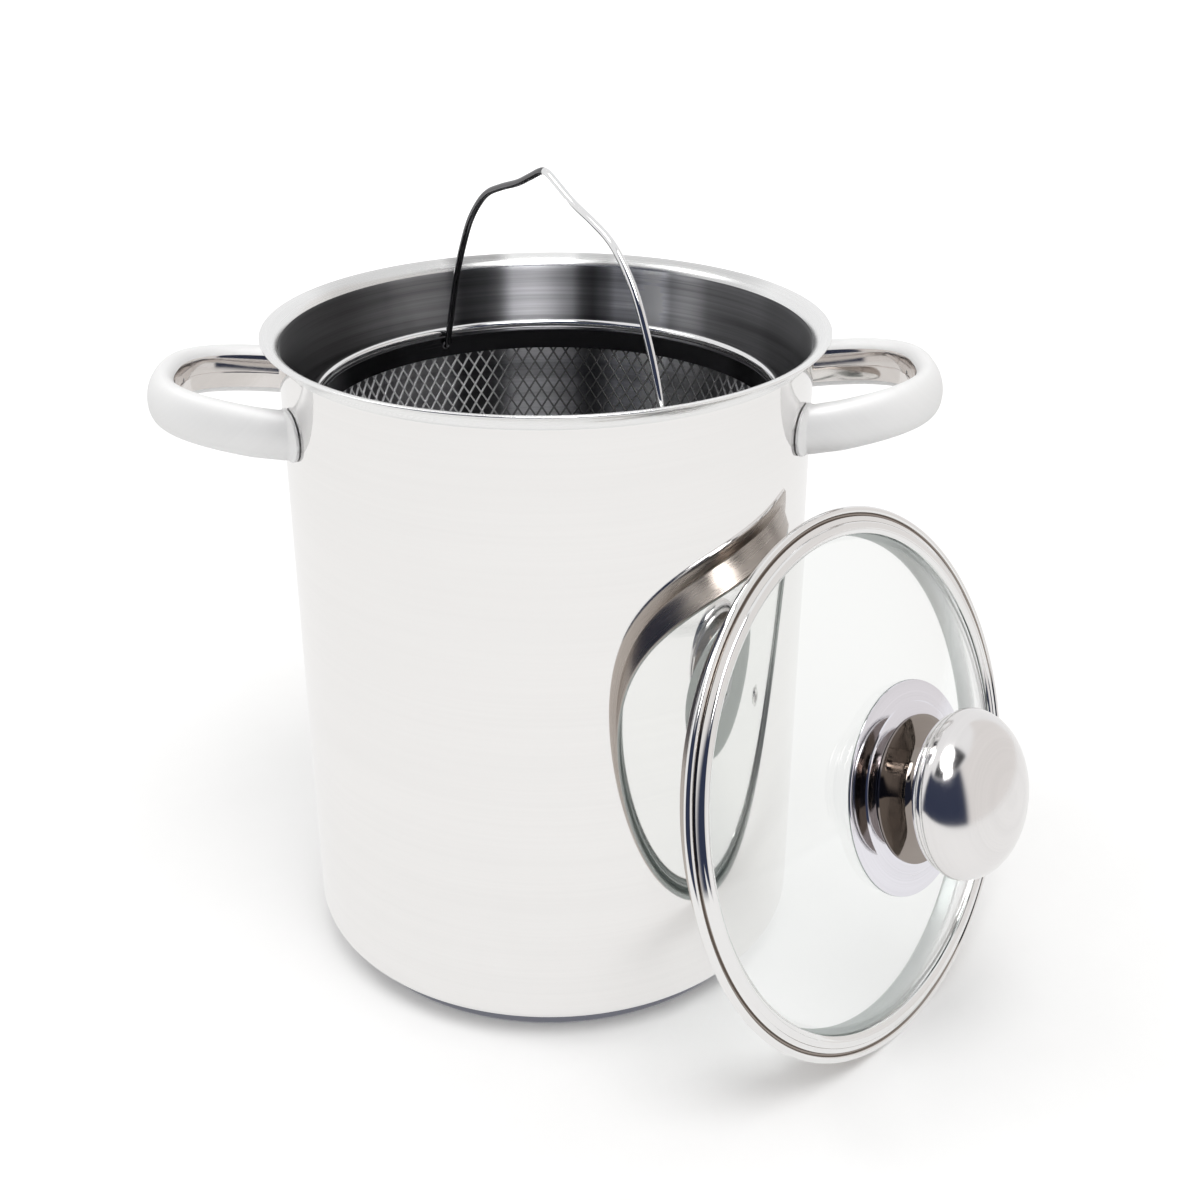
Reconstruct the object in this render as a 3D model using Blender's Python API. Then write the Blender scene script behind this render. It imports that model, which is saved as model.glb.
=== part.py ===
"""Asparagus pot, in metres, +Z up.

A tall steel pot with two hollow loop handles and an encapsulated base, a lift-out basket of
expanded mesh with a swinging wire bail, and a domed glass lid that leans against the pot.
The origin is the centre of the base, on the surface that the pot stands on, and the handles
lie along X.
"""

import math

import bmesh
import bpy
from mathutils import Matrix, Vector

# Fits
GAP = 0.0003                        # between two pieces that touch
MESH_CELLS_AROUND = 20              # diamonds round the basket's wall
RING_SEGMENTS = 2 * MESH_CELLS_AROUND   # facets round the pot, the basket and the lid
KNOB_SEGMENTS = 24                  # facets round the knob
SMALL_SEGMENTS = 16                 # facets round the small hardware
CUT_OVERRUN = 0.0020                # how far a cutter stands past what it cuts
SHARP_ANGLE = 35                    # degrees between two faces that meet at a crease

# Pot body
POT_INNER_RADIUS = 0.0800
POT_WALL = 0.0008
POT_HEIGHT = 0.2078                 # floor to the top of the rim
POT_CORNER_RADIUS = 0.0080          # outside, between the wall and the bottom
RIM_FLARE_RADIUS = 0.0046           # how far the rim turns outwards

# Base: an aluminium disc in a steel cap
BASE_CORE_THICKNESS = 0.0040
BASE_CAP_SHEET = 0.0006
BASE_CAP_EDGE_RADIUS = 0.0012

# Handles: a hollow loop with an oval section
HANDLE_PROJECTION = 0.0402          # from the pot's wall to the outside of the loop
HANDLE_HALF_WIDTH = 0.0315          # from the loop's middle plane to its centre line
HANDLE_LOOP_INSET = 0.0263          # how far inside the wall the loop's curve is centred
HANDLE_SQUARENESS = 2.73            # 2 is an ellipse, more is squarer
HANDLE_DROP = 0.0242                # from the rim's top to the centre line at the wall
HANDLE_RISE_SLOPE = 0.14            # how steeply the loop rises outwards
HANDLE_THICKNESS = 0.0084
HANDLE_DEPTH = 0.0152
HANDLE_SHEET = 0.0010
HANDLE_EAR_WIDTH = 0.0055           # the tongue that lies on the wall outside each arm
HANDLE_INNER_EAR_WIDTH = 0.0015
HANDLE_EAR_REACH = 0.0048           # how far from the wall the ear blends into the arm
HANDLE_VENT_RADIUS = 0.0008
HANDLE_STATIONS = 20
HANDLE_SECTION_POINTS = 12
HANDLE_FINE_STEPS = 400             # along half of the centre line, to space the stations
HANDLE_FLATNESS = 0.8               # power on the finger side's offset; 1 is an ellipse
HANDLE_VENT_STATION = 3             # stations back from the loop's outermost point
EAR_SPREAD_SHARES = ((0.0, 1.0), (0.3, 0.42), (1.0, 0.12))    # of the blend, of the ear's width
EAR_BLEND_SHARE = 0.35              # of the ear's reach
EAR_HOLLOW_SHARE = 0.30             # of the ear's width, for the hollow at the wall

# Basket
BASKET_CLEARANCE = 0.0072           # from the pot's inner wall to the rolled rim
BASKET_BELOW_RIM = 0.0195           # from the pot's rim down to the top of the rolled rim
BASKET_RIM_WIRE_RADIUS = 0.0016
BASKET_BAND_SHEET = 0.0005
BASKET_BAND_HEIGHT = 0.0066
BASKET_MESH_SHEET = 0.0006
BASKET_MESH_LAP = 0.0016            # how far the mesh runs up behind the band
BASKET_FOOT_WIRE_RADIUS = 0.0016
BASKET_LOWER_BAND_HEIGHT = 0.0085
BASKET_FLOOR_SHEET = 0.0008
BASKET_FLOOR_HOLE_RADIUS = 0.0045
BASKET_FLOOR_HOLE_RINGS = 2
MESH_HALF_ROWS = 8                  # half diamonds from hem to hem
MESH_OPENING_SHARE = 0.80           # of each cell's width and height
FLOOR_HEIGHT_SHARE = 0.2            # of the lower band's height, from its bottom edge
FLOOR_MARGIN_SHARE = 0.8            # of the hole spacing, outside the last ring of holes

# Bail: a wire handle on the basket
BAIL_WIRE_RADIUS = 0.0011
BAIL_HEIGHT = 0.0706                # from the pivot line to the wire's centre at the peak
BAIL_BEARING = 119.3                # degrees from +X to the pivot line
BAIL_FOOT_LENGTH = 0.0030           # wire outside the band
BAIL_HOLE_CLEARANCE = 0.0004
BAIL_PIVOT_SHARE = 0.6              # of the band's height, from its bottom edge
BAIL_ELBOW_SHARE = 0.6              # of the wire's radius, past the half-span
BAIL_MITRE_LIMIT_SHARE = 0.5        # the most that a bend may stretch the wire's section
BAIL_SIDES = 8
BAIL_STEPS_PER_SPAN = 2
BAIL_SHAPE_SHARES = (               # of the pivot half-span and of the bail's height
    (1.000, 0.018), (0.993, 0.060), (0.966, 0.128), (0.926, 0.243), (0.873, 0.380),
    (0.806, 0.516), (0.720, 0.655), (0.620, 0.757), (0.522, 0.822), (0.390, 0.869),
    (0.239, 0.913), (0.128, 0.957), (0.045, 0.991),
)

# Lid rim: a flange that sits on the pot's rim and a skirt that drops inside it
LID_SKIRT_CLEARANCE = 0.0014        # from the pot's inner wall to the skirt
LID_FLANGE_WIDTH = 0.0055
LID_FLANGE_THICKNESS = 0.0024
LID_RIM_RISE = 0.0026               # top of the rim above the middle of the flange
LID_SHOULDER_SHARES = (0.45, 0.72)  # of the flange's width, of the rise
LID_RIM_LIP = 0.0015                # how far the rim laps over the glass
LID_RIM_LIP_SHEET = 0.0007
LID_SKIRT_SHEET = 0.0010
LID_SKIRT_DEPTH = 0.0092
LID_SKIRT_TAPER = 0.0029            # how far the skirt draws in towards its hem
LID_HEM_THICKNESS = 0.0015
LID_LEDGE_THICKNESS = 0.0008
LID_LEDGE_LAP = 0.0008              # how far the ledge reaches under the glass

# Lid glass
GLASS_THICKNESS = 0.0040
GLASS_RISE = 0.0187                 # apex above the glass at the rim's inner edge
GLASS_EDGE_HEIGHT = 0.0012          # of that inner edge above the middle of the flange
GLASS_HOLE_RADIUS = 0.0050
GLASS_STEPS = 6                     # on each face, from the hole to the edge
VENT_SPACING = 0.0175               # between the eyelet and the disc under the knob
VENT_BEARING = -22.0                # degrees about the lid's axis
VENT_HOLE_RADIUS = 0.0028
VENT_FLANGE_RADIUS = 0.0042
VENT_FLANGE_SHEET = 0.0005
VENT_BORE_RADIUS = 0.0015

# Knob
ESCUTCHEON_RADIUS = 0.0323
ESCUTCHEON_SHEET = 0.0008
ESCUTCHEON_STEP_RADIUS = 0.0260
ESCUTCHEON_STEP_HEIGHT = 0.0004
ESCUTCHEON_EDGE_SHARE = 0.3         # of its sheet, for the bevel at its edge
GASKET_RADIUS = 0.0110
GASKET_THICKNESS = 0.0010
NECK_FOOT_RADIUS = 0.0222
NECK_WAIST_RADIUS = 0.0130
NECK_HEIGHT = 0.0125
NECK_COLLAR_RADIUS = 0.0233
NECK_COLLAR_HEIGHT = 0.0028
NECK_FOOT_EDGE = 0.0006
NECK_WAIST_SHARE = 0.45             # of the neck's height, below the waist
NECK_STEPS = 4                      # on each side of the waist
CAP_RADIUS = 0.0250
CAP_SKIRT_HEIGHT = 0.0012
CAP_DOME_HEIGHT = 0.0142
CAP_SHEET = 0.0010
CAP_BEVEL_SHARE = 0.4               # of its sheet
INSERT_RADIUS = 0.0040
INSERT_BORE_RADIUS = 0.0023
SCREW_RADIUS = 0.0020
SCREW_HEAD_RADIUS = 0.0042
SCREW_HEAD_HEIGHT = 0.0022
SCREW_SLOT_WIDTH = 0.0010
SCREW_SLOT_DEPTH = 0.0009
SCREW_CROWN_SHARE = 0.6             # of the head's radius
SCREW_RECESS_SHARE = 0.8            # of the crown
WASHER_RADIUS = 0.0095
WASHER_THICKNESS = 0.0010

# How the lid leans, in degrees
LID_BEARING = -33.1                 # from +X to the lid's centre, seen from above
LID_TURN = -8.6                     # from the lid's bearing to the way its top faces
LID_LEAN = 16.2                     # its top faces this far above level
LID_SWING = 1.0                     # step round the pot, where the lid would touch a handle
LID_HANDLE_CLEARANCE = 0.0060       # least distance from the lid to the handle over it

# Worked out from the sizes above
POT_OUTER_RADIUS = POT_INNER_RADIUS + POT_WALL
BASE_CAP_RADIUS = POT_OUTER_RADIUS - POT_CORNER_RADIUS
POT_BOTTOM_Z = BASE_CAP_SHEET + GAP + BASE_CORE_THICKNESS + GAP
POT_FLOOR_Z = POT_BOTTOM_Z + POT_WALL

BASKET_RIM_OUTER_RADIUS = POT_INNER_RADIUS - BASKET_CLEARANCE
BASKET_RIM_RADIUS = BASKET_RIM_OUTER_RADIUS - BASKET_RIM_WIRE_RADIUS
BASKET_RIM_Z = POT_HEIGHT - BASKET_BELOW_RIM - BASKET_RIM_WIRE_RADIUS
BAND_OUTER_RADIUS = BASKET_RIM_RADIUS - BASKET_BAND_SHEET
BAND_INNER_RADIUS = BAND_OUTER_RADIUS - BASKET_BAND_SHEET
BAND_TOP_Z = BASKET_RIM_Z - BASKET_RIM_WIRE_RADIUS - GAP
BAND_BOTTOM_Z = BAND_TOP_Z - BASKET_BAND_HEIGHT
BAIL_PIVOT_Z = BAND_BOTTOM_Z + BAIL_PIVOT_SHARE * BASKET_BAND_HEIGHT
MESH_INNER_RADIUS = BAND_OUTER_RADIUS + GAP
MESH_OUTER_RADIUS = MESH_INNER_RADIUS + BASKET_MESH_SHEET
MESH_TOP_Z = BAND_BOTTOM_Z + BASKET_MESH_LAP
FOOT_WIRE_Z = POT_FLOOR_Z + GAP + BASKET_FOOT_WIRE_RADIUS
FOOT_WIRE_RADIUS_AT = 0.5 * (BAND_INNER_RADIUS + BAND_OUTER_RADIUS)
LOWER_BAND_BOTTOM_Z = FOOT_WIRE_Z + BASKET_FOOT_WIRE_RADIUS + GAP
LOWER_BAND_TOP_Z = LOWER_BAND_BOTTOM_Z + BASKET_LOWER_BAND_HEIGHT
MESH_BOTTOM_Z = LOWER_BAND_TOP_Z - BASKET_MESH_LAP
BAIL_HALF_SPAN = BAND_INNER_RADIUS - GAP - BAIL_WIRE_RADIUS

LID_SKIRT_RADIUS = POT_INNER_RADIUS - LID_SKIRT_CLEARANCE
LID_RADIUS = LID_SKIRT_RADIUS + LID_FLANGE_WIDTH
CHANNEL_RADIUS = LID_SKIRT_RADIUS - LID_SKIRT_SHEET
GLASS_RADIUS = CHANNEL_RADIUS - GAP
LIP_RADIUS = GLASS_RADIUS - LID_RIM_LIP
GLASS_SPHERE_RADIUS = (LIP_RADIUS ** 2 + GLASS_RISE ** 2) / (2 * GLASS_RISE)
GLASS_SPHERE_HEIGHT = GLASS_EDGE_HEIGHT + GLASS_RISE - GLASS_SPHERE_RADIUS
GLASS_LOWER_RADIUS = GLASS_RADIUS * (1 - GLASS_THICKNESS / GLASS_SPHERE_RADIUS)
CHANNEL_LOWER_RADIUS = GLASS_LOWER_RADIUS + GAP
LEDGE_RADIUS = GLASS_LOWER_RADIUS - LID_LEDGE_LAP
VENT_DISTANCE = ESCUTCHEON_RADIUS + VENT_SPACING + VENT_FLANGE_RADIUS


def glass_top(radius):
    """Height of the glass's upper face at a distance from the lid's axis."""
    return GLASS_SPHERE_HEIGHT + math.sqrt(GLASS_SPHERE_RADIUS ** 2 - radius ** 2)


def glass_bottom(radius):
    """Height of the glass's lower face at a distance from the lid's axis."""
    inner = GLASS_SPHERE_RADIUS - GLASS_THICKNESS
    return GLASS_SPHERE_HEIGHT + math.sqrt(inner ** 2 - radius ** 2)


GLASS_APEX = glass_top(0)
GASKET_BOTTOM = GLASS_APEX + GAP
GASKET_TOP = GASKET_BOTTOM + GASKET_THICKNESS
ESCUTCHEON_BOTTOM = GASKET_TOP + GAP
ESCUTCHEON_TOP = ESCUTCHEON_BOTTOM + ESCUTCHEON_SHEET
NECK_BOTTOM = ESCUTCHEON_TOP + GAP
NECK_TOP = NECK_BOTTOM + NECK_HEIGHT
CAP_BOTTOM = NECK_TOP + GAP
INSERT_HOLE_RADIUS = INSERT_RADIUS + GAP
SLEEVE_OUTER_RADIUS = GLASS_HOLE_RADIUS - GAP
SLEEVE_INNER_RADIUS = SCREW_RADIUS + GAP
WASHER_TOP = glass_bottom(WASHER_RADIUS) - GAP
WASHER_BOTTOM = WASHER_TOP - WASHER_THICKNESS


def clear_scene():
    """Remove every object, so that the script can be run again in one session."""
    for item in list(bpy.data.objects):
        bpy.data.objects.remove(item, do_unlink=True)


def finish(name, colour, roughness, metallic, transmission=0.0):
    """A Principled material."""
    material = bpy.data.materials.new(name)
    material.use_nodes = True
    shader = material.node_tree.nodes["Principled BSDF"]
    shader.inputs["Base Color"].default_value = (*colour, 1.0)
    shader.inputs["Roughness"].default_value = roughness
    shader.inputs["Metallic"].default_value = metallic
    shader.inputs["Transmission Weight"].default_value = transmission
    return material


def empty(name, matrix):
    """An empty that carries the pieces of one moving body."""
    item = bpy.data.objects.new(name, None)
    bpy.context.scene.collection.objects.link(item)
    item.matrix_world = matrix
    return item


def place(name, bm, material, parent=None):
    """Turn a bmesh into a named object with outward faces and smooth round sides."""
    bmesh.ops.recalc_face_normals(bm, faces=bm.faces)
    mesh = bpy.data.meshes.new(name)
    bm.to_mesh(mesh)
    bm.free()
    mesh.materials.append(material)
    mesh.shade_smooth()
    mesh.set_sharp_from_angle(angle=math.radians(SHARP_ANGLE))
    item = bpy.data.objects.new(name, mesh)
    bpy.context.scene.collection.objects.link(item)
    item.parent = parent
    return item


def arc(centre, radius, start, end, steps):
    """Points on an arc in the profile plane, both ends included, angles in degrees."""
    points = []
    for step in range(steps + 1):
        angle = math.radians(start + (end - start) * step / steps)
        points.append((centre[0] + radius * math.cos(angle),
                       centre[1] + radius * math.sin(angle)))
    return points


def turned(profile, segments, closed=True):
    """Turn a profile of (radius, height) points about Z; points on the axis become poles."""
    bm = bmesh.new()
    rings = []
    for radius, height in profile:
        count = 1 if radius == 0 else segments
        ring = []
        for index in range(count):
            angle = math.tau * index / segments
            ring.append(bm.verts.new((radius * math.cos(angle), radius * math.sin(angle),
                                      height)))
        rings.append(ring)
    pairs = list(zip(rings, rings[1:]))
    if closed:
        pairs.append((rings[-1], rings[0]))
    for first, second in pairs:
        skin(bm, first, second)
    return bm


def skin(bm, first, second):
    """Join two closed rings of vertices, either of which may be a single pole."""
    count = max(len(first), len(second))
    if count == 1:
        return
    for index in range(count):
        after = (index + 1) % count
        corners = [first[index % len(first)], first[after % len(first)],
                   second[after % len(second)], second[index % len(second)]]
        face = []
        for corner in corners:
            if corner not in face:
                face.append(corner)
        bm.faces.new(face)


def cutter(name, bm, parent=None):
    """A hidden solid that a Boolean takes away."""
    item = place(name, bm, finish(name, (0.5, 0.5, 0.5), 0.5, 0.0), parent)
    item.hide_render = True
    item.display_type = 'WIRE'
    return item


def cut(item, tool):
    """Take a cutter away from a piece."""
    modifier = item.modifiers.new(tool.name, 'BOOLEAN')
    modifier.object = tool
    modifier.operation = 'DIFFERENCE'
    modifier.solver = 'EXACT'


def cylinder_between(start, end, radius, segments):
    """A closed cylinder from one point to another."""
    bm = bmesh.new()
    start, end = Vector(start), Vector(end)
    turn = (end - start).to_track_quat('Z', 'Y').to_matrix()
    rings = []
    for centre in (start, end):
        ring = []
        for index in range(segments):
            angle = math.tau * index / segments
            offset = Vector((radius * math.cos(angle), radius * math.sin(angle), 0))
            ring.append(bm.verts.new(centre + turn @ offset))
        rings.append(ring)
    skin(bm, *rings)
    bm.faces.new(rings[0])
    bm.faces.new(rings[1])
    return bm


# Pot

def build_pot_body(steel):
    """The drawn body: floor, wall and outward-turned rim, from one sheet."""
    corner_centre = (BASE_CAP_RADIUS, POT_BOTTOM_Z + POT_CORNER_RADIUS)
    flare_outer = RIM_FLARE_RADIUS
    flare_inner = flare_outer + POT_WALL
    flare_centre = (POT_OUTER_RADIUS + flare_outer, POT_HEIGHT - flare_inner)
    edge_centre = (flare_centre[0], POT_HEIGHT - 0.5 * POT_WALL)
    profile = [(0, POT_BOTTOM_Z)]
    profile += arc(corner_centre, POT_CORNER_RADIUS, -90, 0, 3)
    profile += arc(flare_centre, flare_outer, 180, 90, 3)[:-1]
    profile += arc(edge_centre, 0.5 * POT_WALL, -90, 90, 2)
    profile += arc(flare_centre, flare_inner, 90, 180, 3)[1:]
    profile += arc(corner_centre, POT_CORNER_RADIUS - POT_WALL, 0, -90, 3)
    profile.append((0, POT_FLOOR_Z))
    return place("pot_body", turned(profile, RING_SEGMENTS, closed=False), steel)


def build_base_core(aluminium):
    """The heat-spreading disc sealed between the body's floor and the cap."""
    radius = BASE_CAP_RADIUS - BASE_CAP_SHEET - GAP
    chamfer = BASE_CAP_EDGE_RADIUS - BASE_CAP_SHEET
    low = BASE_CAP_SHEET + GAP
    profile = [(0, low), (radius - chamfer, low), (radius, low + chamfer),
               (radius, low + BASE_CORE_THICKNESS), (0, low + BASE_CORE_THICKNESS)]
    return place("base_core", turned(profile, RING_SEGMENTS, closed=False), aluminium)


def build_base_cap(steel):
    """The pressed steel cup that wraps the core and stands on the hob."""
    top = POT_BOTTOM_Z - GAP
    centre = (BASE_CAP_RADIUS - BASE_CAP_EDGE_RADIUS, BASE_CAP_EDGE_RADIUS)
    inner = BASE_CAP_EDGE_RADIUS - BASE_CAP_SHEET
    profile = [(0, 0)] + arc(centre, BASE_CAP_EDGE_RADIUS, -90, 0, 3)
    profile += [(BASE_CAP_RADIUS, top), (BASE_CAP_RADIUS - BASE_CAP_SHEET, top)]
    profile += arc(centre, inner, 0, -90, 2) + [(0, BASE_CAP_SHEET)]
    return place("base_cap", turned(profile, RING_SEGMENTS, closed=False), steel)


def handle_centre_line():
    """Half of the loop's centre line in plan, from the wall to the outermost point.

    It is a superellipse about a point inside the wall. Each entry holds the point and the
    outward direction across the line.
    """
    centre_x = POT_OUTER_RADIUS - HANDLE_LOOP_INSET
    reach = HANDLE_LOOP_INSET + HANDLE_PROJECTION - 0.5 * HANDLE_THICKNESS
    power = 2 / HANDLE_SQUARENESS

    def point(turn):
        return Vector((centre_x + reach * math.sin(turn) ** power,
                       HANDLE_HALF_WIDTH * math.cos(turn) ** power))

    start_x = POT_OUTER_RADIUS + HANDLE_EAR_REACH
    low, high = 0.0, 0.5 * math.pi
    for _ in range(40):
        middle = 0.5 * (low + high)
        if point(middle).x < start_x:
            low = middle
        else:
            high = middle
    half = HANDLE_STATIONS // 2
    span = 0.5 * math.pi - low
    fine = [point(low + span * step / HANDLE_FINE_STEPS) for step in range(HANDLE_FINE_STEPS)]
    fine.append(Vector((centre_x + reach, 0)))
    run = [0.0]
    for first, second in zip(fine, fine[1:]):
        run.append(run[-1] + (second - first).length)
    line = []
    for station in range(half + 1):
        target = run[-1] * station / half
        index = min(range(len(run)), key=lambda i: abs(run[i] - target))
        before, after = fine[max(index - 1, 0)], fine[min(index + 1, len(fine) - 1)]
        along = (after - before).normalized()
        line.append((fine[index], Vector((-along.y, along.x))))
    line[-1] = (fine[-1], Vector((1, 0)))
    return line


def handle_loop(side, section):
    """Rings of points along one handle's loop, from the far arm to the near one."""
    half_line = handle_centre_line()
    centre_z = POT_HEIGHT - HANDLE_DROP

    def ring(point, across, mirror):
        rise = HANDLE_RISE_SLOPE * (point.x - POT_OUTER_RADIUS)
        slope = HANDLE_RISE_SLOPE * across.x
        points = []
        for offset, height in section:
            x = point.x + across.x * offset - HANDLE_RISE_SLOPE * height
            y = point.y + across.y * offset
            z = centre_z + rise + slope * offset + height
            points.append(Vector((side * x, mirror * y, z)))
        return points

    rings = [ring(point, across, 1) for point, across in half_line]
    rings += [ring(point, across, -1) for point, across in reversed(half_line[:-1])]
    return rings


def handle_section(inset):
    """An oval, flatter on the finger side, as (outwards, up) offsets."""
    half_thickness = 0.5 * HANDLE_THICKNESS - inset
    half_depth = 0.5 * HANDLE_DEPTH - inset
    points = []
    for index in range(HANDLE_SECTION_POINTS):
        angle = math.tau * index / HANDLE_SECTION_POINTS
        outwards, up = math.cos(angle), math.sin(angle)
        if outwards < 0:
            outwards = -abs(outwards) ** HANDLE_FLATNESS
        points.append((half_thickness * outwards, half_depth * up))
    return points


def wall_ring(side, mirror, stand_off, spread_out, spread_in, section):
    """A ring of points that follows the pot's wall at one end of a handle."""
    arm = handle_centre_line()[0][0]
    centre_z = POT_HEIGHT - HANDLE_DROP
    radius = POT_OUTER_RADIUS + stand_off
    bearing = math.asin(arm.y / POT_OUTER_RADIUS)
    points = []
    for offset, height in section:
        spread = spread_out if offset > 0 else spread_in
        share = min(abs(offset) / (0.5 * HANDLE_THICKNESS), 1.0)
        across = offset + math.copysign(spread * math.sqrt(share), offset)
        angle = bearing + across / POT_OUTER_RADIUS
        points.append(Vector((side * radius * math.cos(angle),
                              mirror * radius * math.sin(angle), centre_z + height)))
    return points


def build_handle(name, side, steel):
    """A hollow loop whose open ends and ears lie against the pot's wall."""
    outer_section = handle_section(0)
    inner_section = handle_section(HANDLE_SHEET)
    ear_face = GAP + HANDLE_SHEET
    blend = EAR_BLEND_SHARE * (HANDLE_EAR_REACH - ear_face)
    ends = [(GAP, 1.0)]
    ends += [(ear_face + up * blend, spread) for up, spread in EAR_SPREAD_SHARES]
    hollow = [(GAP, EAR_HOLLOW_SHARE), (ear_face + blend, EAR_SPREAD_SHARES[-1][1])]
    bm = bmesh.new()

    def shell(section, stops):
        rings = []
        for mirror in (1, -1):
            part = []
            for stand_off, share in stops:
                part.append(wall_ring(side, mirror, stand_off, share * HANDLE_EAR_WIDTH,
                                      share * HANDLE_INNER_EAR_WIDTH, section))
            rings.append(part)
        loop = handle_loop(side, section)
        return rings[0] + loop + rings[1][::-1]

    outer = shell(outer_section, ends)
    inner = shell(inner_section, hollow)
    outer_rings = [[bm.verts.new(point) for point in ring] for ring in outer]
    inner_rings = [[bm.verts.new(point) for point in ring] for ring in inner]
    for rings in (outer_rings, inner_rings):
        for first, second in zip(rings, rings[1:]):
            skin(bm, first, second)
    skin(bm, outer_rings[0], inner_rings[0])
    skin(bm, outer_rings[-1], inner_rings[-1])
    item = place(name, bm, steel)
    point, across = handle_centre_line()[-HANDLE_VENT_STATION]
    centre_z = POT_HEIGHT - HANDLE_DROP + HANDLE_RISE_SLOPE * (point.x - POT_OUTER_RADIUS)
    inside = Vector((side * (point.x - abs(across.x) * HANDLE_THICKNESS),
                     point.y - abs(across.y) * HANDLE_THICKNESS, centre_z))
    middle = Vector((side * point.x, point.y, centre_z))
    vent = cutter(name + "_vent_cutter",
                  cylinder_between(inside, middle, HANDLE_VENT_RADIUS, SMALL_SEGMENTS // 2))
    cut(item, vent)
    return item


# Basket

def wire_ring(radius, height, wire_radius, sides):
    """A closed ring of round wire."""
    profile = arc((radius, height), wire_radius, 0, 360, sides)[:-1]
    return turned(profile, RING_SEGMENTS)


def hoop(inner, outer, low, high):
    """A plain band."""
    profile = [(inner, low), (outer, low), (outer, high), (inner, high)]
    return turned(profile, RING_SEGMENTS)


def build_basket_band(steel, parent):
    """The plain band under the rolled rim, with a hole for each foot of the bail."""
    band = place("basket_band",
                 hoop(BAND_INNER_RADIUS, BAND_OUTER_RADIUS, BAND_BOTTOM_Z, BAND_TOP_Z),
                 steel, parent)
    bearing = math.radians(BAIL_BEARING)
    reach = BAND_OUTER_RADIUS + CUT_OVERRUN
    end = Vector((math.cos(bearing) * reach, math.sin(bearing) * reach, BAIL_PIVOT_Z))
    start = Vector((-end.x, -end.y, BAIL_PIVOT_Z))
    drill = cutter("bail_hole_cutter",
                   cylinder_between(start, end, BAIL_WIRE_RADIUS + BAIL_HOLE_CLEARANCE,
                                    SMALL_SEGMENTS), parent)
    cut(band, drill)
    return band


def build_basket_mesh(steel, parent):
    """The expanded-metal wall: staggered diamond openings between two plain hems."""
    bm = bmesh.new()
    step = math.tau / MESH_CELLS_AROUND
    rise = (MESH_TOP_Z - MESH_BOTTOM_Z) / MESH_HALF_ROWS
    skins = []
    for radius in (MESH_OUTER_RADIUS, MESH_INNER_RADIUS):

        def corner(half_steps, row, radius=radius):
            angle = 0.5 * step * half_steps
            return bm.verts.new((radius * math.cos(angle), radius * math.sin(angle),
                                 MESH_BOTTOM_Z + rise * row))

        lattice = {}
        for row in range(MESH_HALF_ROWS + 1):
            for column in range(2 * MESH_CELLS_AROUND):
                on_lattice = (column + row) % 2 == 0
                on_hem = row in (0, MESH_HALF_ROWS)
                if on_lattice or on_hem:
                    lattice[column, row] = corner(column, row)
        skins.append((lattice, corner))

    wrap = 2 * MESH_CELLS_AROUND
    share = MESH_OPENING_SHARE
    for row in range(1, MESH_HALF_ROWS):
        for column in range(wrap):
            if (column + row) % 2 == 0:
                continue
            loops = []
            for lattice, corner in skins:
                rim = [lattice[(column + 1) % wrap, row], lattice[column, row + 1],
                       lattice[(column - 1) % wrap, row], lattice[column, row - 1]]
                hole = [corner(column + share, row), corner(column, row + share),
                        corner(column - share, row), corner(column, row - share)]
                for index in range(4):
                    after = (index + 1) % 4
                    bm.faces.new([rim[index], rim[after], hole[after], hole[index]])
                loops.append(hole)
            skin(bm, *loops)
    for row, towards in ((0, 1), (MESH_HALF_ROWS, MESH_HALF_ROWS - 1)):
        for lattice, _ in skins:
            for column in range(wrap):
                if (column + row) % 2 == 1:
                    left = lattice[(column - 1) % wrap, row]
                    right = lattice[(column + 1) % wrap, row]
                    middle, tip = lattice[column, row], lattice[column, towards]
                    bm.faces.new([left, middle, tip])
                    bm.faces.new([middle, right, tip])
        hems = [[lattice[column, row] for column in range(wrap)] for lattice, _ in skins]
        skin(bm, *hems)
    return place("basket_mesh", bm, steel, parent)


def build_basket_floor(steel, parent):
    """The perforated floor, with holes on concentric rings about a central one."""
    radius = BAND_INNER_RADIUS - GAP
    low = LOWER_BAND_BOTTOM_Z + FLOOR_HEIGHT_SHARE * BASKET_LOWER_BAND_HEIGHT
    profile = [(0, low), (radius, low), (radius, low + BASKET_FLOOR_SHEET),
               (0, low + BASKET_FLOOR_SHEET)]
    floor = place("basket_floor", turned(profile, RING_SEGMENTS, closed=False), steel, parent)
    bm = bmesh.new()
    spacing = radius / (BASKET_FLOOR_HOLE_RINGS + FLOOR_MARGIN_SHARE)
    for ring in range(BASKET_FLOOR_HOLE_RINGS + 1):
        count = max(1, 6 * ring)
        for index in range(count):
            angle = math.tau * (index + 0.5) / count
            centre = Vector((spacing * ring * math.cos(angle),
                             spacing * ring * math.sin(angle), low - CUT_OVERRUN))
            top = centre + Vector((0, 0, BASKET_FLOOR_SHEET + 2 * CUT_OVERRUN))
            punch = cylinder_between(centre, top, BASKET_FLOOR_HOLE_RADIUS,
                                     SMALL_SEGMENTS // 2)
            mesh = bpy.data.meshes.new("punch")
            punch.to_mesh(mesh)
            punch.free()
            bm.from_mesh(mesh)
            bpy.data.meshes.remove(mesh)
    cut(floor, cutter("floor_hole_cutter", bm, parent))
    return floor


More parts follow.
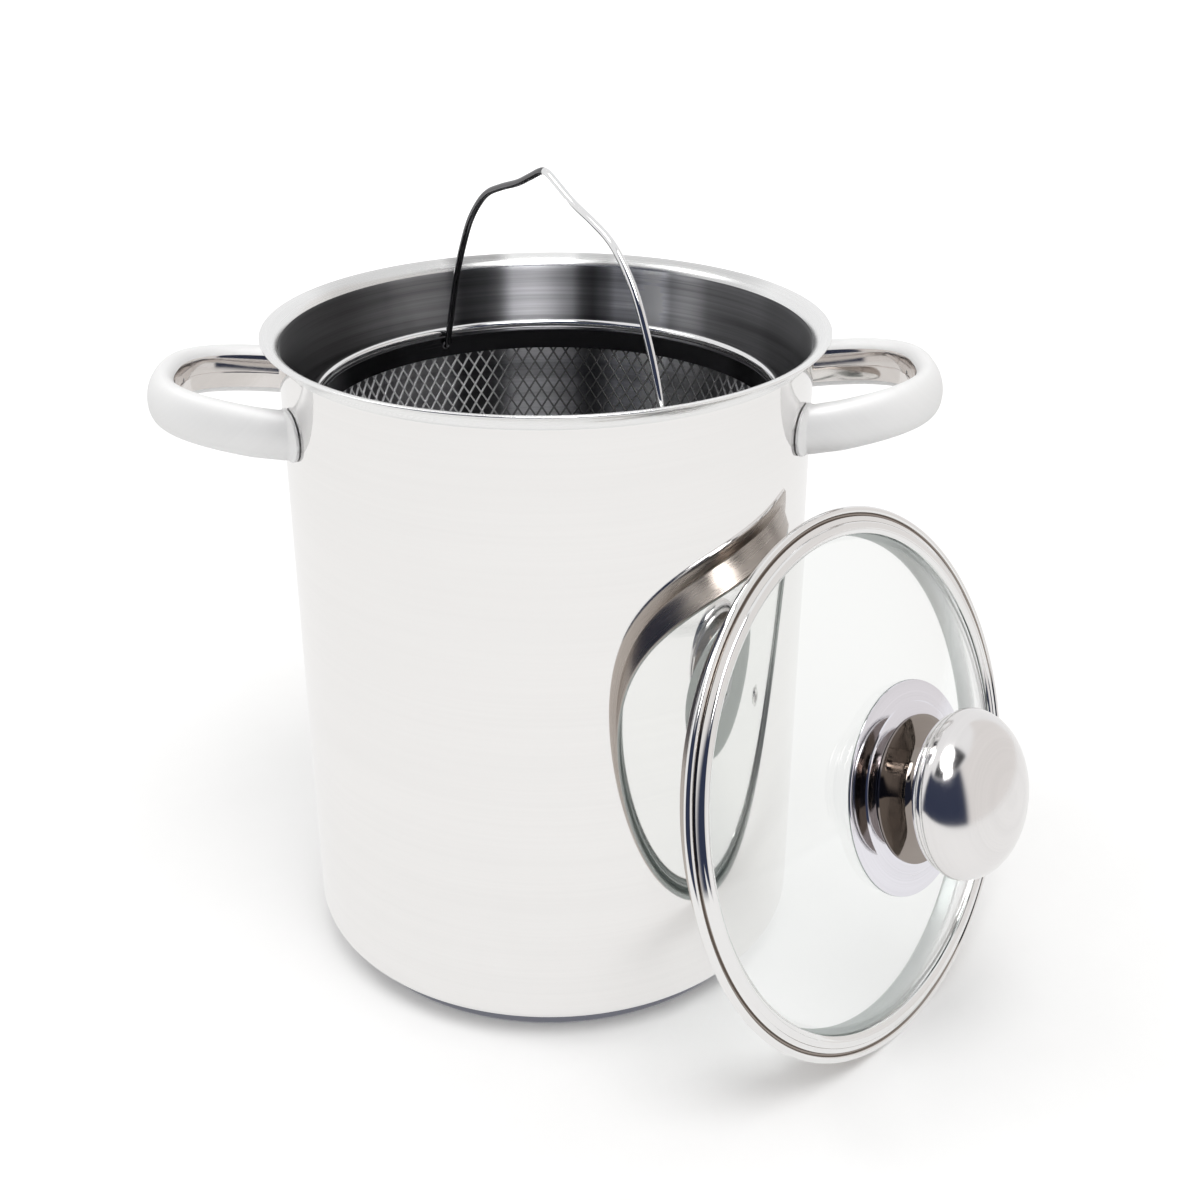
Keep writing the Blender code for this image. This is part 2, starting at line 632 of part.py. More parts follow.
def bail_points():
    """The bail's centre line in its own plane, from one foot to the other.

    The shape's points are joined by a Catmull-Rom curve, and the far half mirrors the near.
    """
    half = [Vector((BAIL_HALF_SPAN * across, BAIL_HEIGHT * up))
            for across, up in BAIL_SHAPE_SHARES]
    peak = [Vector((0, BAIL_HEIGHT))]
    knots = half + peak + [Vector((-point.x, point.y)) for point in reversed(half)]
    smooth = []
    for index in range(len(knots) - 1):
        before = knots[max(index - 1, 0)]
        start, end = knots[index], knots[index + 1]
        after = knots[min(index + 2, len(knots) - 1)]
        steps = BAIL_STEPS_PER_SPAN if 2 < index < len(knots) - 4 else 1
        for step in range(steps):
            t = step / steps
            smooth.append(0.5 * (2 * start + (end - before) * t
                                 + (2 * before - 5 * start + 4 * end - after) * t ** 2
                                 + (3 * start - before - 3 * end + after) * t ** 3))
    smooth.append(knots[-1])
    tip = BAND_OUTER_RADIUS + BAIL_FOOT_LENGTH
    elbow = BAIL_HALF_SPAN + BAIL_ELBOW_SHARE * BAIL_WIRE_RADIUS
    return ([Vector((tip, 0)), Vector((elbow, 0))] + smooth
            + [Vector((-elbow, 0)), Vector((-tip, 0))])


def build_bail(steel, parent):
    """The wire bail: it lies in the parent's XZ plane and turns about the parent's X."""
    points = bail_points()
    bm = bmesh.new()
    rings = []
    for index, point in enumerate(points):
        before = points[max(index - 1, 0)]
        after = points[min(index + 1, len(points) - 1)]
        first = (point - before).normalized() if index else (after - point).normalized()
        last = (after - point).normalized() if index < len(points) - 1 else first
        along = (first + last).normalized()
        across = Vector((-along.y, along.x))
        stretch = 1 / max(along.dot(first), BAIL_MITRE_LIMIT_SHARE)
        ring = []
        for corner in range(BAIL_SIDES):
            angle = math.tau * (corner + 0.5) / BAIL_SIDES
            sideways = BAIL_WIRE_RADIUS * math.cos(angle) * stretch
            depth = BAIL_WIRE_RADIUS * math.sin(angle)
            spot = point + across * sideways
            ring.append(bm.verts.new((spot.x, depth, spot.y)))
        rings.append(ring)
    for first, second in zip(rings, rings[1:]):
        skin(bm, first, second)
    bm.faces.new(rings[0])
    bm.faces.new(rings[-1])
    return place("basket_bail", bm, steel, parent)


# Lid, in its own frame: Z along its axis towards the knob, heights from the flange's middle

def rim_profile():
    """The rim's section: flange, crown, lip over the glass, channel, ledge and skirt.

    The skirt draws in towards its hem, and its inner face keeps to the outer one.
    """
    half = 0.5 * LID_FLANGE_THICKNESS
    edge_centre = (LID_RADIUS - half, 0)
    hem = 0.5 * LID_HEM_THICKNESS
    hem_centre = (LID_SKIRT_RADIUS - LID_SKIRT_TAPER - hem, hem - LID_SKIRT_DEPTH)
    lip_under = glass_top(LIP_RADIUS) + GAP
    ledge_top = glass_bottom(LEDGE_RADIUS) - GAP
    ledge_low = ledge_top - LID_LEDGE_THICKNESS
    crown = LIP_RADIUS + LID_RIM_LIP
    shoulder_width, shoulder_rise = LID_SHOULDER_SHARES
    drawn_in = LID_SKIRT_TAPER * (half + ledge_low) / (half + hem_centre[1])
    profile = arc(edge_centre, half, -90, 60, 3)
    profile += [
        (LID_SKIRT_RADIUS + shoulder_width * LID_FLANGE_WIDTH, shoulder_rise * LID_RIM_RISE),
        (LID_SKIRT_RADIUS, LID_RIM_RISE),
        (crown, LID_RIM_RISE),
        (LIP_RADIUS, lip_under + LID_RIM_LIP_SHEET),
        (LIP_RADIUS, lip_under),
        (CHANNEL_RADIUS, glass_top(GLASS_RADIUS) + GAP),
        (CHANNEL_LOWER_RADIUS, glass_bottom(GLASS_LOWER_RADIUS) - GAP),
        (LEDGE_RADIUS, ledge_top),
        (LEDGE_RADIUS, ledge_low),
        (LID_SKIRT_RADIUS - drawn_in - LID_SKIRT_SHEET, ledge_low),
    ]
    profile += arc(hem_centre, hem, 150, 360, 3)
    profile.append((LID_SKIRT_RADIUS, -half))
    return profile


def vent_spot():
    """Where the vent's axis meets the glass's upper face."""
    turn = math.radians(VENT_BEARING)
    return Vector((VENT_DISTANCE * math.cos(turn), VENT_DISTANCE * math.sin(turn),
                   glass_top(VENT_DISTANCE)))


def build_lid_glass(glass, parent):
    """The domed glass, its edge square to its faces, with a centre hole and a vent hole."""
    profile = []
    for step in range(GLASS_STEPS + 1):
        share = step / GLASS_STEPS
        radius = GLASS_HOLE_RADIUS + (GLASS_RADIUS - GLASS_HOLE_RADIUS) * share
        profile.append((radius, glass_top(radius)))
    for step in range(GLASS_STEPS, -1, -1):
        share = step / GLASS_STEPS
        radius = GLASS_HOLE_RADIUS + (GLASS_LOWER_RADIUS - GLASS_HOLE_RADIUS) * share
        profile.append((radius, glass_bottom(radius)))
    item = place("lid_glass", turned(profile, RING_SEGMENTS), glass, parent)
    spot = vent_spot()
    normal = (spot - Vector((0, 0, GLASS_SPHERE_HEIGHT))).normalized()
    drill = cutter("vent_hole_cutter",
                   cylinder_between(spot - normal * (GLASS_THICKNESS + CUT_OVERRUN),
                                    spot + normal * CUT_OVERRUN,
                                    VENT_HOLE_RADIUS, SMALL_SEGMENTS), parent)
    cut(item, drill)
    return item


def build_vent_grommet(steel, parent):
    """The eyelet in the vent hole, square to the glass there."""
    top = GAP + VENT_FLANGE_SHEET
    bottom = -GLASS_THICKNESS - GAP
    sleeve = VENT_HOLE_RADIUS - GAP
    lower_flange = 0.5 * (sleeve + VENT_FLANGE_RADIUS)
    profile = [(VENT_BORE_RADIUS, top), (VENT_FLANGE_RADIUS - VENT_FLANGE_SHEET, top),
               (VENT_FLANGE_RADIUS, GAP), (sleeve, GAP), (sleeve, bottom),
               (lower_flange, bottom), (lower_flange, bottom - VENT_FLANGE_SHEET),
               (VENT_BORE_RADIUS, bottom - VENT_FLANGE_SHEET)]
    item = place("vent_grommet", turned(profile, SMALL_SEGMENTS), steel, parent)
    tilt = math.asin(VENT_DISTANCE / GLASS_SPHERE_RADIUS)
    item.location = vent_spot()
    item.rotation_euler = (0, tilt, math.radians(VENT_BEARING))
    return item


def build_knob_gasket(rubber, parent):
    """The soft washer under the knob, with a sleeve that lines the hole in the glass."""
    sleeve_bottom = glass_bottom(GLASS_HOLE_RADIUS)
    profile = [(SLEEVE_INNER_RADIUS, sleeve_bottom), (SLEEVE_OUTER_RADIUS, sleeve_bottom),
               (SLEEVE_OUTER_RADIUS, GASKET_BOTTOM), (GASKET_RADIUS, GASKET_BOTTOM),
               (GASKET_RADIUS, GASKET_TOP), (SLEEVE_INNER_RADIUS, GASKET_TOP)]
    return place("knob_gasket", turned(profile, KNOB_SEGMENTS), rubber, parent)


def escutcheon_top(radius):
    """Height of the disc's upper face outside the gasket: a cone that drops to the glass."""
    edge = glass_top(ESCUTCHEON_RADIUS) + GAP + ESCUTCHEON_SHEET
    share = (radius - GASKET_RADIUS) / (ESCUTCHEON_RADIUS - GASKET_RADIUS)
    return ESCUTCHEON_TOP + (edge - ESCUTCHEON_TOP) * share


def build_knob_escutcheon(steel, parent):
    """The wide disc between the knob and the glass, with one shallow step."""
    step = ESCUTCHEON_STEP_RADIUS
    hole = SCREW_RADIUS + 2 * GAP
    edge_drop = ESCUTCHEON_EDGE_SHARE * ESCUTCHEON_SHEET
    shoulder = GASKET_RADIUS + GAP
    profile = [
        (hole, ESCUTCHEON_TOP), (shoulder, ESCUTCHEON_TOP),
        (step - ESCUTCHEON_STEP_HEIGHT, escutcheon_top(step - ESCUTCHEON_STEP_HEIGHT)),
        (step, escutcheon_top(step) - ESCUTCHEON_STEP_HEIGHT),
        (ESCUTCHEON_RADIUS - edge_drop, escutcheon_top(ESCUTCHEON_RADIUS)),
        (ESCUTCHEON_RADIUS, escutcheon_top(ESCUTCHEON_RADIUS) - edge_drop),
        (ESCUTCHEON_RADIUS, glass_top(ESCUTCHEON_RADIUS) + GAP),
        (step, escutcheon_top(step) - ESCUTCHEON_STEP_HEIGHT - ESCUTCHEON_SHEET),
        (shoulder, ESCUTCHEON_BOTTOM), (hole, ESCUTCHEON_BOTTOM),
    ]
    return place("knob_escutcheon", turned(profile, KNOB_SEGMENTS), steel, parent)


def build_knob_neck(steel, parent):
    """The waisted neck and the collar that carries the cap."""
    foot = escutcheon_top(NECK_FOOT_RADIUS) + GAP
    collar_low = NECK_TOP - NECK_COLLAR_HEIGHT
    foot_top = foot + NECK_FOOT_EDGE
    profile = [(NECK_FOOT_RADIUS, foot), (NECK_FOOT_RADIUS, foot_top)]
    waist_low = NECK_FOOT_RADIUS - NECK_WAIST_RADIUS
    waist_high = NECK_COLLAR_RADIUS - NECK_WAIST_RADIUS
    waist_z = foot_top + (collar_low - foot_top) * NECK_WAIST_SHARE
    for step in range(1, NECK_STEPS):
        angle = 0.5 * math.pi * step / NECK_STEPS
        profile.append((NECK_FOOT_RADIUS - waist_low * math.sin(angle),
                        waist_z - (waist_z - foot_top) * math.cos(angle)))
    profile.append((NECK_WAIST_RADIUS, waist_z))
    for step in range(NECK_STEPS - 1, 0, -1):
        angle = 0.5 * math.pi * step / NECK_STEPS
        profile.append((NECK_COLLAR_RADIUS - waist_high * math.sin(angle),
                        waist_z + (collar_low - waist_z) * math.cos(angle)))
    profile += [(NECK_COLLAR_RADIUS, collar_low), (NECK_COLLAR_RADIUS, NECK_TOP),
                (INSERT_HOLE_RADIUS, NECK_TOP), (INSERT_HOLE_RADIUS, NECK_BOTTOM),
                (GASKET_RADIUS, NECK_BOTTOM)]
    return place("knob_neck", turned(profile, KNOB_SEGMENTS), steel, parent)


def build_knob_cap(steel, parent):
    """The hollow domed cap, open where it meets the neck's collar."""
    equator = CAP_BOTTOM + CAP_SKIRT_HEIGHT

    def dome(radius, height, steps):
        points = []
        for step in range(steps + 1):
            angle = 0.5 * math.pi * step / steps
            points.append((radius * math.cos(angle) if step < steps else 0,
                           equator + height * math.sin(angle)))
        return points

    outer = dome(CAP_RADIUS, CAP_DOME_HEIGHT, 6)
    inner = dome(CAP_RADIUS - CAP_SHEET, CAP_DOME_HEIGHT - CAP_SHEET, 4)
    bevel = CAP_BEVEL_SHARE * CAP_SHEET
    profile = [(CAP_RADIUS - bevel, CAP_BOTTOM), (CAP_RADIUS, CAP_BOTTOM + bevel)] + outer
    profile += inner[::-1] + [(CAP_RADIUS - CAP_SHEET, CAP_BOTTOM)]
    return place("knob_cap", turned(profile, KNOB_SEGMENTS), steel, parent)


def build_knob_insert(steel, parent):
    """The threaded bush in the neck that the screw pulls on."""
    low = NECK_BOTTOM
    high = NECK_TOP - GAP
    profile = [(INSERT_BORE_RADIUS, low), (INSERT_RADIUS, low), (INSERT_RADIUS, high),
               (INSERT_BORE_RADIUS, high)]
    return place("knob_insert", turned(profile, SMALL_SEGMENTS), steel, parent)


def build_knob_washer(steel, parent):
    """The washer under the glass."""
    profile = [(SLEEVE_INNER_RADIUS, WASHER_BOTTOM), (WASHER_RADIUS, WASHER_BOTTOM),
               (WASHER_RADIUS, WASHER_TOP), (SLEEVE_INNER_RADIUS, WASHER_TOP)]
    return place("knob_washer", turned(profile, KNOB_SEGMENTS), steel, parent)


def build_knob_screw(steel, parent):
    """The cross-recess screw that holds the knob, its head under the washer."""
    head_top = WASHER_BOTTOM - GAP
    head_bottom = head_top - SCREW_HEAD_HEIGHT
    tip = NECK_TOP - 2 * GAP
    crown = SCREW_CROWN_SHARE * SCREW_HEAD_RADIUS
    profile = [(0, head_bottom), (crown, head_bottom),
               (SCREW_HEAD_RADIUS, head_bottom + 0.5 * SCREW_HEAD_HEIGHT),
               (SCREW_HEAD_RADIUS, head_top), (SCREW_RADIUS, head_top),
               (SCREW_RADIUS, tip - 0.5 * SCREW_RADIUS), (0.5 * SCREW_RADIUS, tip), (0, tip)]
    screw = place("knob_screw", turned(profile, SMALL_SEGMENTS, closed=False), steel, parent)
    half = 0.5 * SCREW_SLOT_WIDTH
    reach = SCREW_RECESS_SHARE * crown
    quarter = [(reach, -half), (reach, half), (half, half)]
    outline = []
    for turn in range(4):
        spin = Matrix.Rotation(math.radians(90 * turn), 2)
        outline += [spin @ Vector(corner) for corner in quarter]
    bm = bmesh.new()
    low = [bm.verts.new((spot.x, spot.y, head_bottom - CUT_OVERRUN)) for spot in outline]
    high = [bm.verts.new((spot.x, spot.y, head_bottom + SCREW_SLOT_DEPTH)) for spot in outline]
    skin(bm, low, high)
    bm.faces.new(low)
    bm.faces.new(high)
    cut(screw, cutter("screw_recess_cutter", bm, parent))
    return screw


def stand_lid(bearing):
    """Stand the lid on its edge and push it up to the pot until one gap is left.

    Returns the lid's frame and the places of its rim's corners.
    """
    facing, lean = math.radians(bearing + LID_TURN), math.radians(LID_LEAN)
    out = Vector((math.cos(lean) * math.cos(facing), math.cos(lean) * math.sin(facing),
                  math.sin(lean)))
    across = Vector((-math.sin(facing), math.cos(facing), 0))
    turn = Matrix((across, out.cross(across), out)).transposed()
    spots = []
    for radius, height in rim_profile():
        for index in range(RING_SEGMENTS):
            angle = math.tau * index / RING_SEGMENTS
            spots.append(turn @ Vector((radius * math.cos(angle), radius * math.sin(angle),
                                        height)))
    lift = Vector((0, 0, -min(spot.z for spot in spots)))
    away = Vector((math.cos(math.radians(bearing)), math.sin(math.radians(bearing)), 0))
    near, far = 0.0, POT_OUTER_RADIUS + 2 * LID_RADIUS
    for _ in range(50):
        middle = 0.5 * (near + far)
        gap = min((spot + away * middle).to_2d().length for spot in spots) - POT_OUTER_RADIUS
        if gap < GAP:
            near = middle
        else:
            far = middle
    centre = away * far + lift
    return Matrix.Translation(centre) @ turn.to_4x4(), [spot + centre for spot in spots]


def clears_handle(spots):
    """Whether the lid's rim keeps its distance from the right handle."""
    low = POT_HEIGHT - HANDLE_DROP - 0.5 * HANDLE_DEPTH - LID_HANDLE_CLEARANCE
    reach = POT_OUTER_RADIUS + HANDLE_PROJECTION + LID_HANDLE_CLEARANCE
    half_width = HANDLE_HALF_WIDTH + 0.5 * HANDLE_THICKNESS + LID_HANDLE_CLEARANCE
    return not any(spot.z > low and 0 < spot.x < reach and abs(spot.y) < half_width
                   for spot in spots)


def lid_frame():
    """The lid's frame: at its bearing, or as little further round as clears the handle."""
    bearing = LID_BEARING
    frame, spots = stand_lid(bearing)
    while not clears_handle(spots):
        bearing -= LID_SWING
        frame, spots = stand_lid(bearing)
    return frame


def main():
    """Build every piece."""
    clear_scene()
    mirror = finish("mirror_steel", (0.78, 0.78, 0.77), 0.06, 1.0)
    satin = finish("satin_steel", (0.62, 0.61, 0.60), 0.28, 1.0)
    wire = finish("wire_steel", (0.66, 0.66, 0.66), 0.15, 1.0)
    aluminium = finish("aluminium", (0.70, 0.70, 0.71), 0.35, 1.0)
    glass = finish("clear_glass", (0.93, 0.97, 0.95), 0.02, 0.0, 1.0)
    rubber = finish("silicone", (0.72, 0.72, 0.70), 0.55, 0.0)

    build_pot_body(mirror)
    build_base_core(aluminium)
    build_base_cap(satin)
    build_handle("right_handle", 1, mirror)
    build_handle("left_handle", -1, mirror)

    basket = empty("basket_lift", Matrix.Identity(4))
    place("basket_rim", wire_ring(BASKET_RIM_RADIUS, BASKET_RIM_Z, BASKET_RIM_WIRE_RADIUS, 6),
          wire, basket)
    build_basket_band(satin, basket)
    build_basket_mesh(satin, basket)
    place("basket_lower_band",
          hoop(BAND_INNER_RADIUS, BAND_OUTER_RADIUS, LOWER_BAND_BOTTOM_Z, LOWER_BAND_TOP_Z),
          satin, basket)
    place("basket_foot_ring",
          wire_ring(FOOT_WIRE_RADIUS_AT, FOOT_WIRE_Z, BASKET_FOOT_WIRE_RADIUS, 6), wire, basket)
    build_basket_floor(satin, basket)

    pivot = empty("bail_pivot", Matrix.Translation((0, 0, BAIL_PIVOT_Z))
                  @ Matrix.Rotation(math.radians(BAIL_BEARING), 4, 'Z'))
    build_bail(wire, pivot)

    lid = empty("lid_lift", lid_frame())
    place("lid_rim", turned(rim_profile(), RING_SEGMENTS), mirror, lid)
    build_lid_glass(glass, lid)
    build_vent_grommet(mirror, lid)
    build_knob_gasket(rubber, lid)
    build_knob_escutcheon(mirror, lid)
    build_knob_neck(mirror, lid)
    build_knob_cap(mirror, lid)
    build_knob_insert(satin, lid)
    build_knob_washer(satin, lid)
    build_knob_screw(satin, lid)


main()
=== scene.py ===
"""Looks of a tall steel pot with a mesh basket and a domed glass lid.

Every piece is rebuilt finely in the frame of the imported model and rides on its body.
Lengths are in metres, +Z is up, and the origin is the centre of the pot's base.
"""

import logging
import math
from collections.abc import Callable, Sequence
from dataclasses import dataclass, field
from enum import Enum
from typing import ClassVar

import bmesh
import bpy
from mathutils import Matrix, Vector


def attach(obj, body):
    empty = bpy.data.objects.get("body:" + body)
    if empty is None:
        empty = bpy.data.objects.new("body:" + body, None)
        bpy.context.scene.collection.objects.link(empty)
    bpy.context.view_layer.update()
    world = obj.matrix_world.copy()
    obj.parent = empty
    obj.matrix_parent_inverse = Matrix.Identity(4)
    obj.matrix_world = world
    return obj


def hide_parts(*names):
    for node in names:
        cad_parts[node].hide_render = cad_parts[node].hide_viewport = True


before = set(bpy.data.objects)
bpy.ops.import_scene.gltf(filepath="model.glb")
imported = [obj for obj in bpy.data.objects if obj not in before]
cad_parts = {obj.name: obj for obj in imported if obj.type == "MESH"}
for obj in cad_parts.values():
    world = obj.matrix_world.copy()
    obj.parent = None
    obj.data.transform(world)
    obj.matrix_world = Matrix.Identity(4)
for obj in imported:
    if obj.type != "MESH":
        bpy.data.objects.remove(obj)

log = logging.getLogger("asparagus_pot")

Colour = tuple[float, float, float]
Spot = tuple[float, float]
Span = tuple[float, float]
Place = tuple[float, float, float]
Mesh = bmesh.types.BMesh
Material = bpy.types.Material
Socket = bpy.types.NodeSocket

# The air between neighbouring pieces, and the facets round large, middling and small ones
GAP = 0.0003
FINE = 224
MEDIUM = 128
SMALL = 48

# The stretches of a noise's 0 to 1 that show in a finish
LINE_SPAN: Span = (0.25, 0.75)
TONE_SPAN: Span = (0.35, 0.65)
MARK_SPAN: Span = (0.40, 0.80)
WIPE_SPAN: Span = (0.55, 0.90)


class Body(Enum):
    """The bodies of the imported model."""

    POT = "pot"
    BASKET = "basket"
    BAIL = "bail"
    LID = "lid"


class Slot(Enum):
    """The record's material slots, which the fine pieces are handed but don't use."""

    MIRROR = "mirror_steel"
    SATIN = "satin_steel"
    WIRE = "wire_steel"
    GLASS = "clear_glass"
    SILICONE = "silicone"


# Shapes

def arc(centre: Spot, radius: float, start: float, end: float, steps: int) -> list[Spot]:
    """Points on an arc in the profile plane, both ends included.

    Args:
        centre: The arc's centre, as (radius, height).
        radius: The arc's radius.
        start: Where it starts, in degrees.
        end: Where it ends, in degrees.
        steps: How many chords make it.

    Returns:
        The points in order.
    """
    points = []
    for step in range(steps + 1):
        angle = math.radians(start + (end - start) * step / steps)
        points.append((centre[0] + radius * math.cos(angle),
                       centre[1] + radius * math.sin(angle)))
    return points


def circle(radius: float, count: int) -> list[Spot]:
    """Points round the origin, or the origin alone for a radius of zero."""
    turns = [math.tau * index / count for index in range(count if radius else 1)]
    return [(radius * math.cos(turn), radius * math.sin(turn)) for turn in turns]


def skin(bm: Mesh, first: Sequence, second: Sequence) -> None:
    """Join two closed rings of vertices, either of which may be a single pole.

    Args:
        bm: The mesh that gets the faces.
        first: One ring.
        second: The next ring.
    """
    count = max(len(first), len(second))
    for index in range(count if count > 1 else 0):
        after = (index + 1) % count
        corners = (first[index % len(first)], first[after % len(first)],
                   second[after % len(second)], second[index % len(second)])
        bm.faces.new(list(dict.fromkeys(corners)))


def turned(profile: Sequence[Spot], segments: int, closed: bool = True) -> Mesh:
    """Turn a profile about Z.

    Args:
        profile: Points as (radius, height); a radius of zero makes a pole.
        segments: How many facets go round.
        closed: Whether the last point joins the first.

    Returns:
        A mesh of one closed skin.
    """
    bm = bmesh.new()
    rings = [[bm.verts.new((*spot, height)) for spot in circle(radius, segments)]
             for radius, height in profile]
    for first, second in zip(rings, rings[1:] + rings[:1] if closed else rings[1:]):
        skin(bm, first, second)
    return bm


def rings_to_skin(rings: Sequence[Sequence[Vector]]) -> Mesh:
    """Skin a run of rings and fill the two ends.

    Args:
        rings: Rings of points, all of one length.

    Returns:
        A mesh of one closed skin.
    """
    bm = bmesh.new()
    made = [[bm.verts.new(point) for point in ring] for ring in rings]
    for first, second in zip(made, made[1:]):
        skin(bm, first, second)
    for end in (made[0], made[-1]):
        bm.faces.new(end)
    return bm


def rod(start: Vector, end: Vector, radius: float, sides: int) -> Mesh:
    """Make a closed cylinder.

    Args:
        start: The middle of its first end.
        end: The middle of its other end.
        radius: Its radius.
        sides: How many facets go round.

    Returns:
        The cylinder.
    """
    turn = (end - start).to_track_quat('Z', 'Y').to_matrix()
    return rings_to_skin([[centre + turn @ Vector((*spot, 0)) for spot in circle(radius, sides)]
                          for centre in (start, end)])


def put(name: str, data: bpy.types.ID) -> bpy.types.Object:
    """Put a new object in the scene.

    Args:
        name: The object's name.
        data: Its mesh, lamp or camera.

    Returns:
        The object.
    """
    item = bpy.data.objects.new(name, data)
    bpy.context.scene.collection.objects.link(item)
    return item


def to_mesh(name: str, bm: Mesh) -> bpy.types.Mesh:
    """Turn a bmesh into a plain mesh.

    Args:
        name: The mesh's name.
        bm: The bmesh, which is used up.

    Returns:
        The mesh.
    """
    mesh = bpy.data.meshes.new(name)
    bm.to_mesh(mesh)
    bm.free()
    return mesh


def carve(bm: Mesh, tools: Sequence[Mesh]) -> Mesh:
    """Cut solids out of a mesh.

    Args:
        bm: The mesh that is cut, which is used up.
        tools: Closed solids that are taken away, which are used up.

    Returns:
        The cut mesh.
    """
    made = []
    for part in (bm, *tools):
        bmesh.ops.recalc_face_normals(part, faces=part.faces)
        made.append(put("carving", to_mesh("carving", part)))
    target = made[0]
    for tool in made[1:]:
        modifier = target.modifiers.new("cut", 'BOOLEAN')
        modifier.object = tool
        modifier.operation = 'DIFFERENCE'
        modifier.solver = 'EXACT'
    bpy.context.view_layer.update()
    result = bmesh.new()
    depsgraph = bpy.context.evaluated_depsgraph_get()
    result.from_mesh(target.evaluated_get(depsgraph).to_mesh())
    for item in made:
        bpy.data.objects.remove(item, do_unlink=True)
    return result


# Node groups that the finishes share

class Wiring:
    """Adds nodes to a tree and links them."""

    def __init__(self, tree: bpy.types.NodeTree) -> None:
        """Keep the tree."""
        self.tree = tree

    def fill(self, node: bpy.types.Node, inputs: dict) -> None:
        """Set or link a node's inputs.

        Args:
            node: The node.
            inputs: A value or an output socket for each input, by name or number.
        """
        for key, value in inputs.items():
            if isinstance(value, Socket):
                self.tree.links.new(value, node.inputs[key])
            else:
                node.inputs[key].default_value = value

    def add(self, kind: str, inputs: dict | None = None, **settings) -> bpy.types.Node:
        """Add a node.

        Args:
            kind: The node's type.
            inputs: Values or output sockets for its inputs, by name or number.
            settings: Values for the node's own properties.

        Returns:
            The node.
        """
        node = self.tree.nodes.new(kind)
        for key, value in settings.items():
            setattr(node, key, value)
        self.fill(node, inputs or {})
        return node

    def math(self, operation: str, *values) -> Socket:
        """A Math node's result."""
        return self.add('ShaderNodeMath', dict(enumerate(values)), operation=operation).outputs[0]

    def vector(self, operation: str, *values) -> Sequence[Socket]:
        """A Vector Math node's results: a vector and a number."""
        return self.add('ShaderNodeVectorMath', dict(enumerate(values)),
                        operation=operation).outputs

    def level(self, direction: Socket) -> Socket:
        """The level part of a direction, one long."""
        return self.vector('NORMALIZE', self.vector('MULTIPLY', direction, (1, 1, 0))[0])[0]

    def ramp(self, value: Socket, start: float, end: float, low: float = 0.0,
             high: float = 1.0, smooth: bool = False) -> Socket:
        """Carry a number from one span over to another, held at its ends.

        Args:
            value: The number.
            start: Where its span starts.
            end: Where its span ends.
            low: The result at the start.
            high: The result at the end.
            smooth: Whether it eases in and out.

        Returns:
            The result.
        """
        return self.add('ShaderNodeMapRange',
                        {"Value": value, "From Min": start, "From Max": end, "To Min": low,
                         "To Max": high},
                        interpolation_type='SMOOTHSTEP' if smooth else 'LINEAR').outputs[0]

    def mix(self, share: Socket, first: Colour | Socket, second: Colour | Socket) -> Socket:
        """Pass from one colour into another.

        Args:
            share: 0 for the first colour, 1 for the second.
            first: A colour, or a socket that brings one.
            second: A colour, or a socket that brings one.

        Returns:
            The mixed colour.
        """
        ends = [end if isinstance(end, Socket) else (*end, 1) for end in (first, second)]
        return self.add('ShaderNodeMix', {0: share, 6: ends[0], 7: ends[1]},
                        data_type='RGBA').outputs[2]

    def blend(self, share: Socket, first: Socket, second: Socket) -> Socket:
        """The first shader where the share is 0, passing into the second where it is 1."""
        return self.add('ShaderNodeMixShader', {0: share, 1: first, 2: second}).outputs[0]


def new_group(name: str, inputs: dict[str, float | None], outputs: Sequence[str]) -> tuple[
        Wiring, Sequence[Socket], bpy.types.Node]:
    """Start a shader node group.

    Args:
        name: The group's name.
        inputs: For each input's name its default number, or None for a vector.
        outputs: Names of its number outputs.

    Returns:
        The wiring, the sockets that bring the inputs, and the output node.
    """
    tree = bpy.data.node_groups.new(name, 'ShaderNodeTree')
    for label, value in inputs.items():
        kind = 'NodeSocketVector' if value is None else 'NodeSocketFloat'
        socket = tree.interface.new_socket(label, in_out='INPUT', socket_type=kind)
        if value is not None:
            socket.default_value = value
    for label in outputs:
        tree.interface.new_socket(label, in_out='OUTPUT', socket_type='NodeSocketFloat')
    wire = Wiring(tree)
    return wire, wire.add('NodeGroupInput').outputs, wire.add('NodeGroupOutput')


def polishing_lines(along: float = 9.0, roughness: float = 0.62) -> bpy.types.NodeTree:
    """Fine lines that run round the piece's Z axis, as a lathe or a polishing wheel leaves.

    Args:
        along: How fast a line changes on its way, for each metre.
        roughness: How strong the noise's finer layers are.

    Returns:
        A group that puts out Lines from 0 to 1 and a slower Bands from 0 to 1.
    """
    wire, source, sink = new_group("polishing_lines", {"Vector": None, "Density": 1500.0},
                                   ("Lines", "Bands"))
    x, y, z = wire.add('ShaderNodeSeparateXYZ', {0: source["Vector"]}).outputs
    flat = wire.add('ShaderNodeCombineXYZ', {0: x, 1: y}).outputs[0]
    across = wire.math('ADD', wire.vector('LENGTH', flat)["Value"], z)
    runs = [wire.math('MULTIPLY', level, along) for level in (x, y)]
    for label, share, detail in (("Lines", 1.0, 3.0), ("Bands", 0.11, 1.0)):
        dense = wire.math('MULTIPLY', source["Density"], share)
        spot = wire.add('ShaderNodeCombineXYZ', {0: runs[0], 1: runs[1],
                                                 2: wire.math('MULTIPLY', across, dense)})
        noise = wire.add('ShaderNodeTexNoise', {"Vector": spot.outputs[0], "Scale": 1.0,
                                                "Detail": detail, "Roughness": roughness})
        wire.fill(sink, {label: noise.outputs["Fac"]})
    return wire.tree


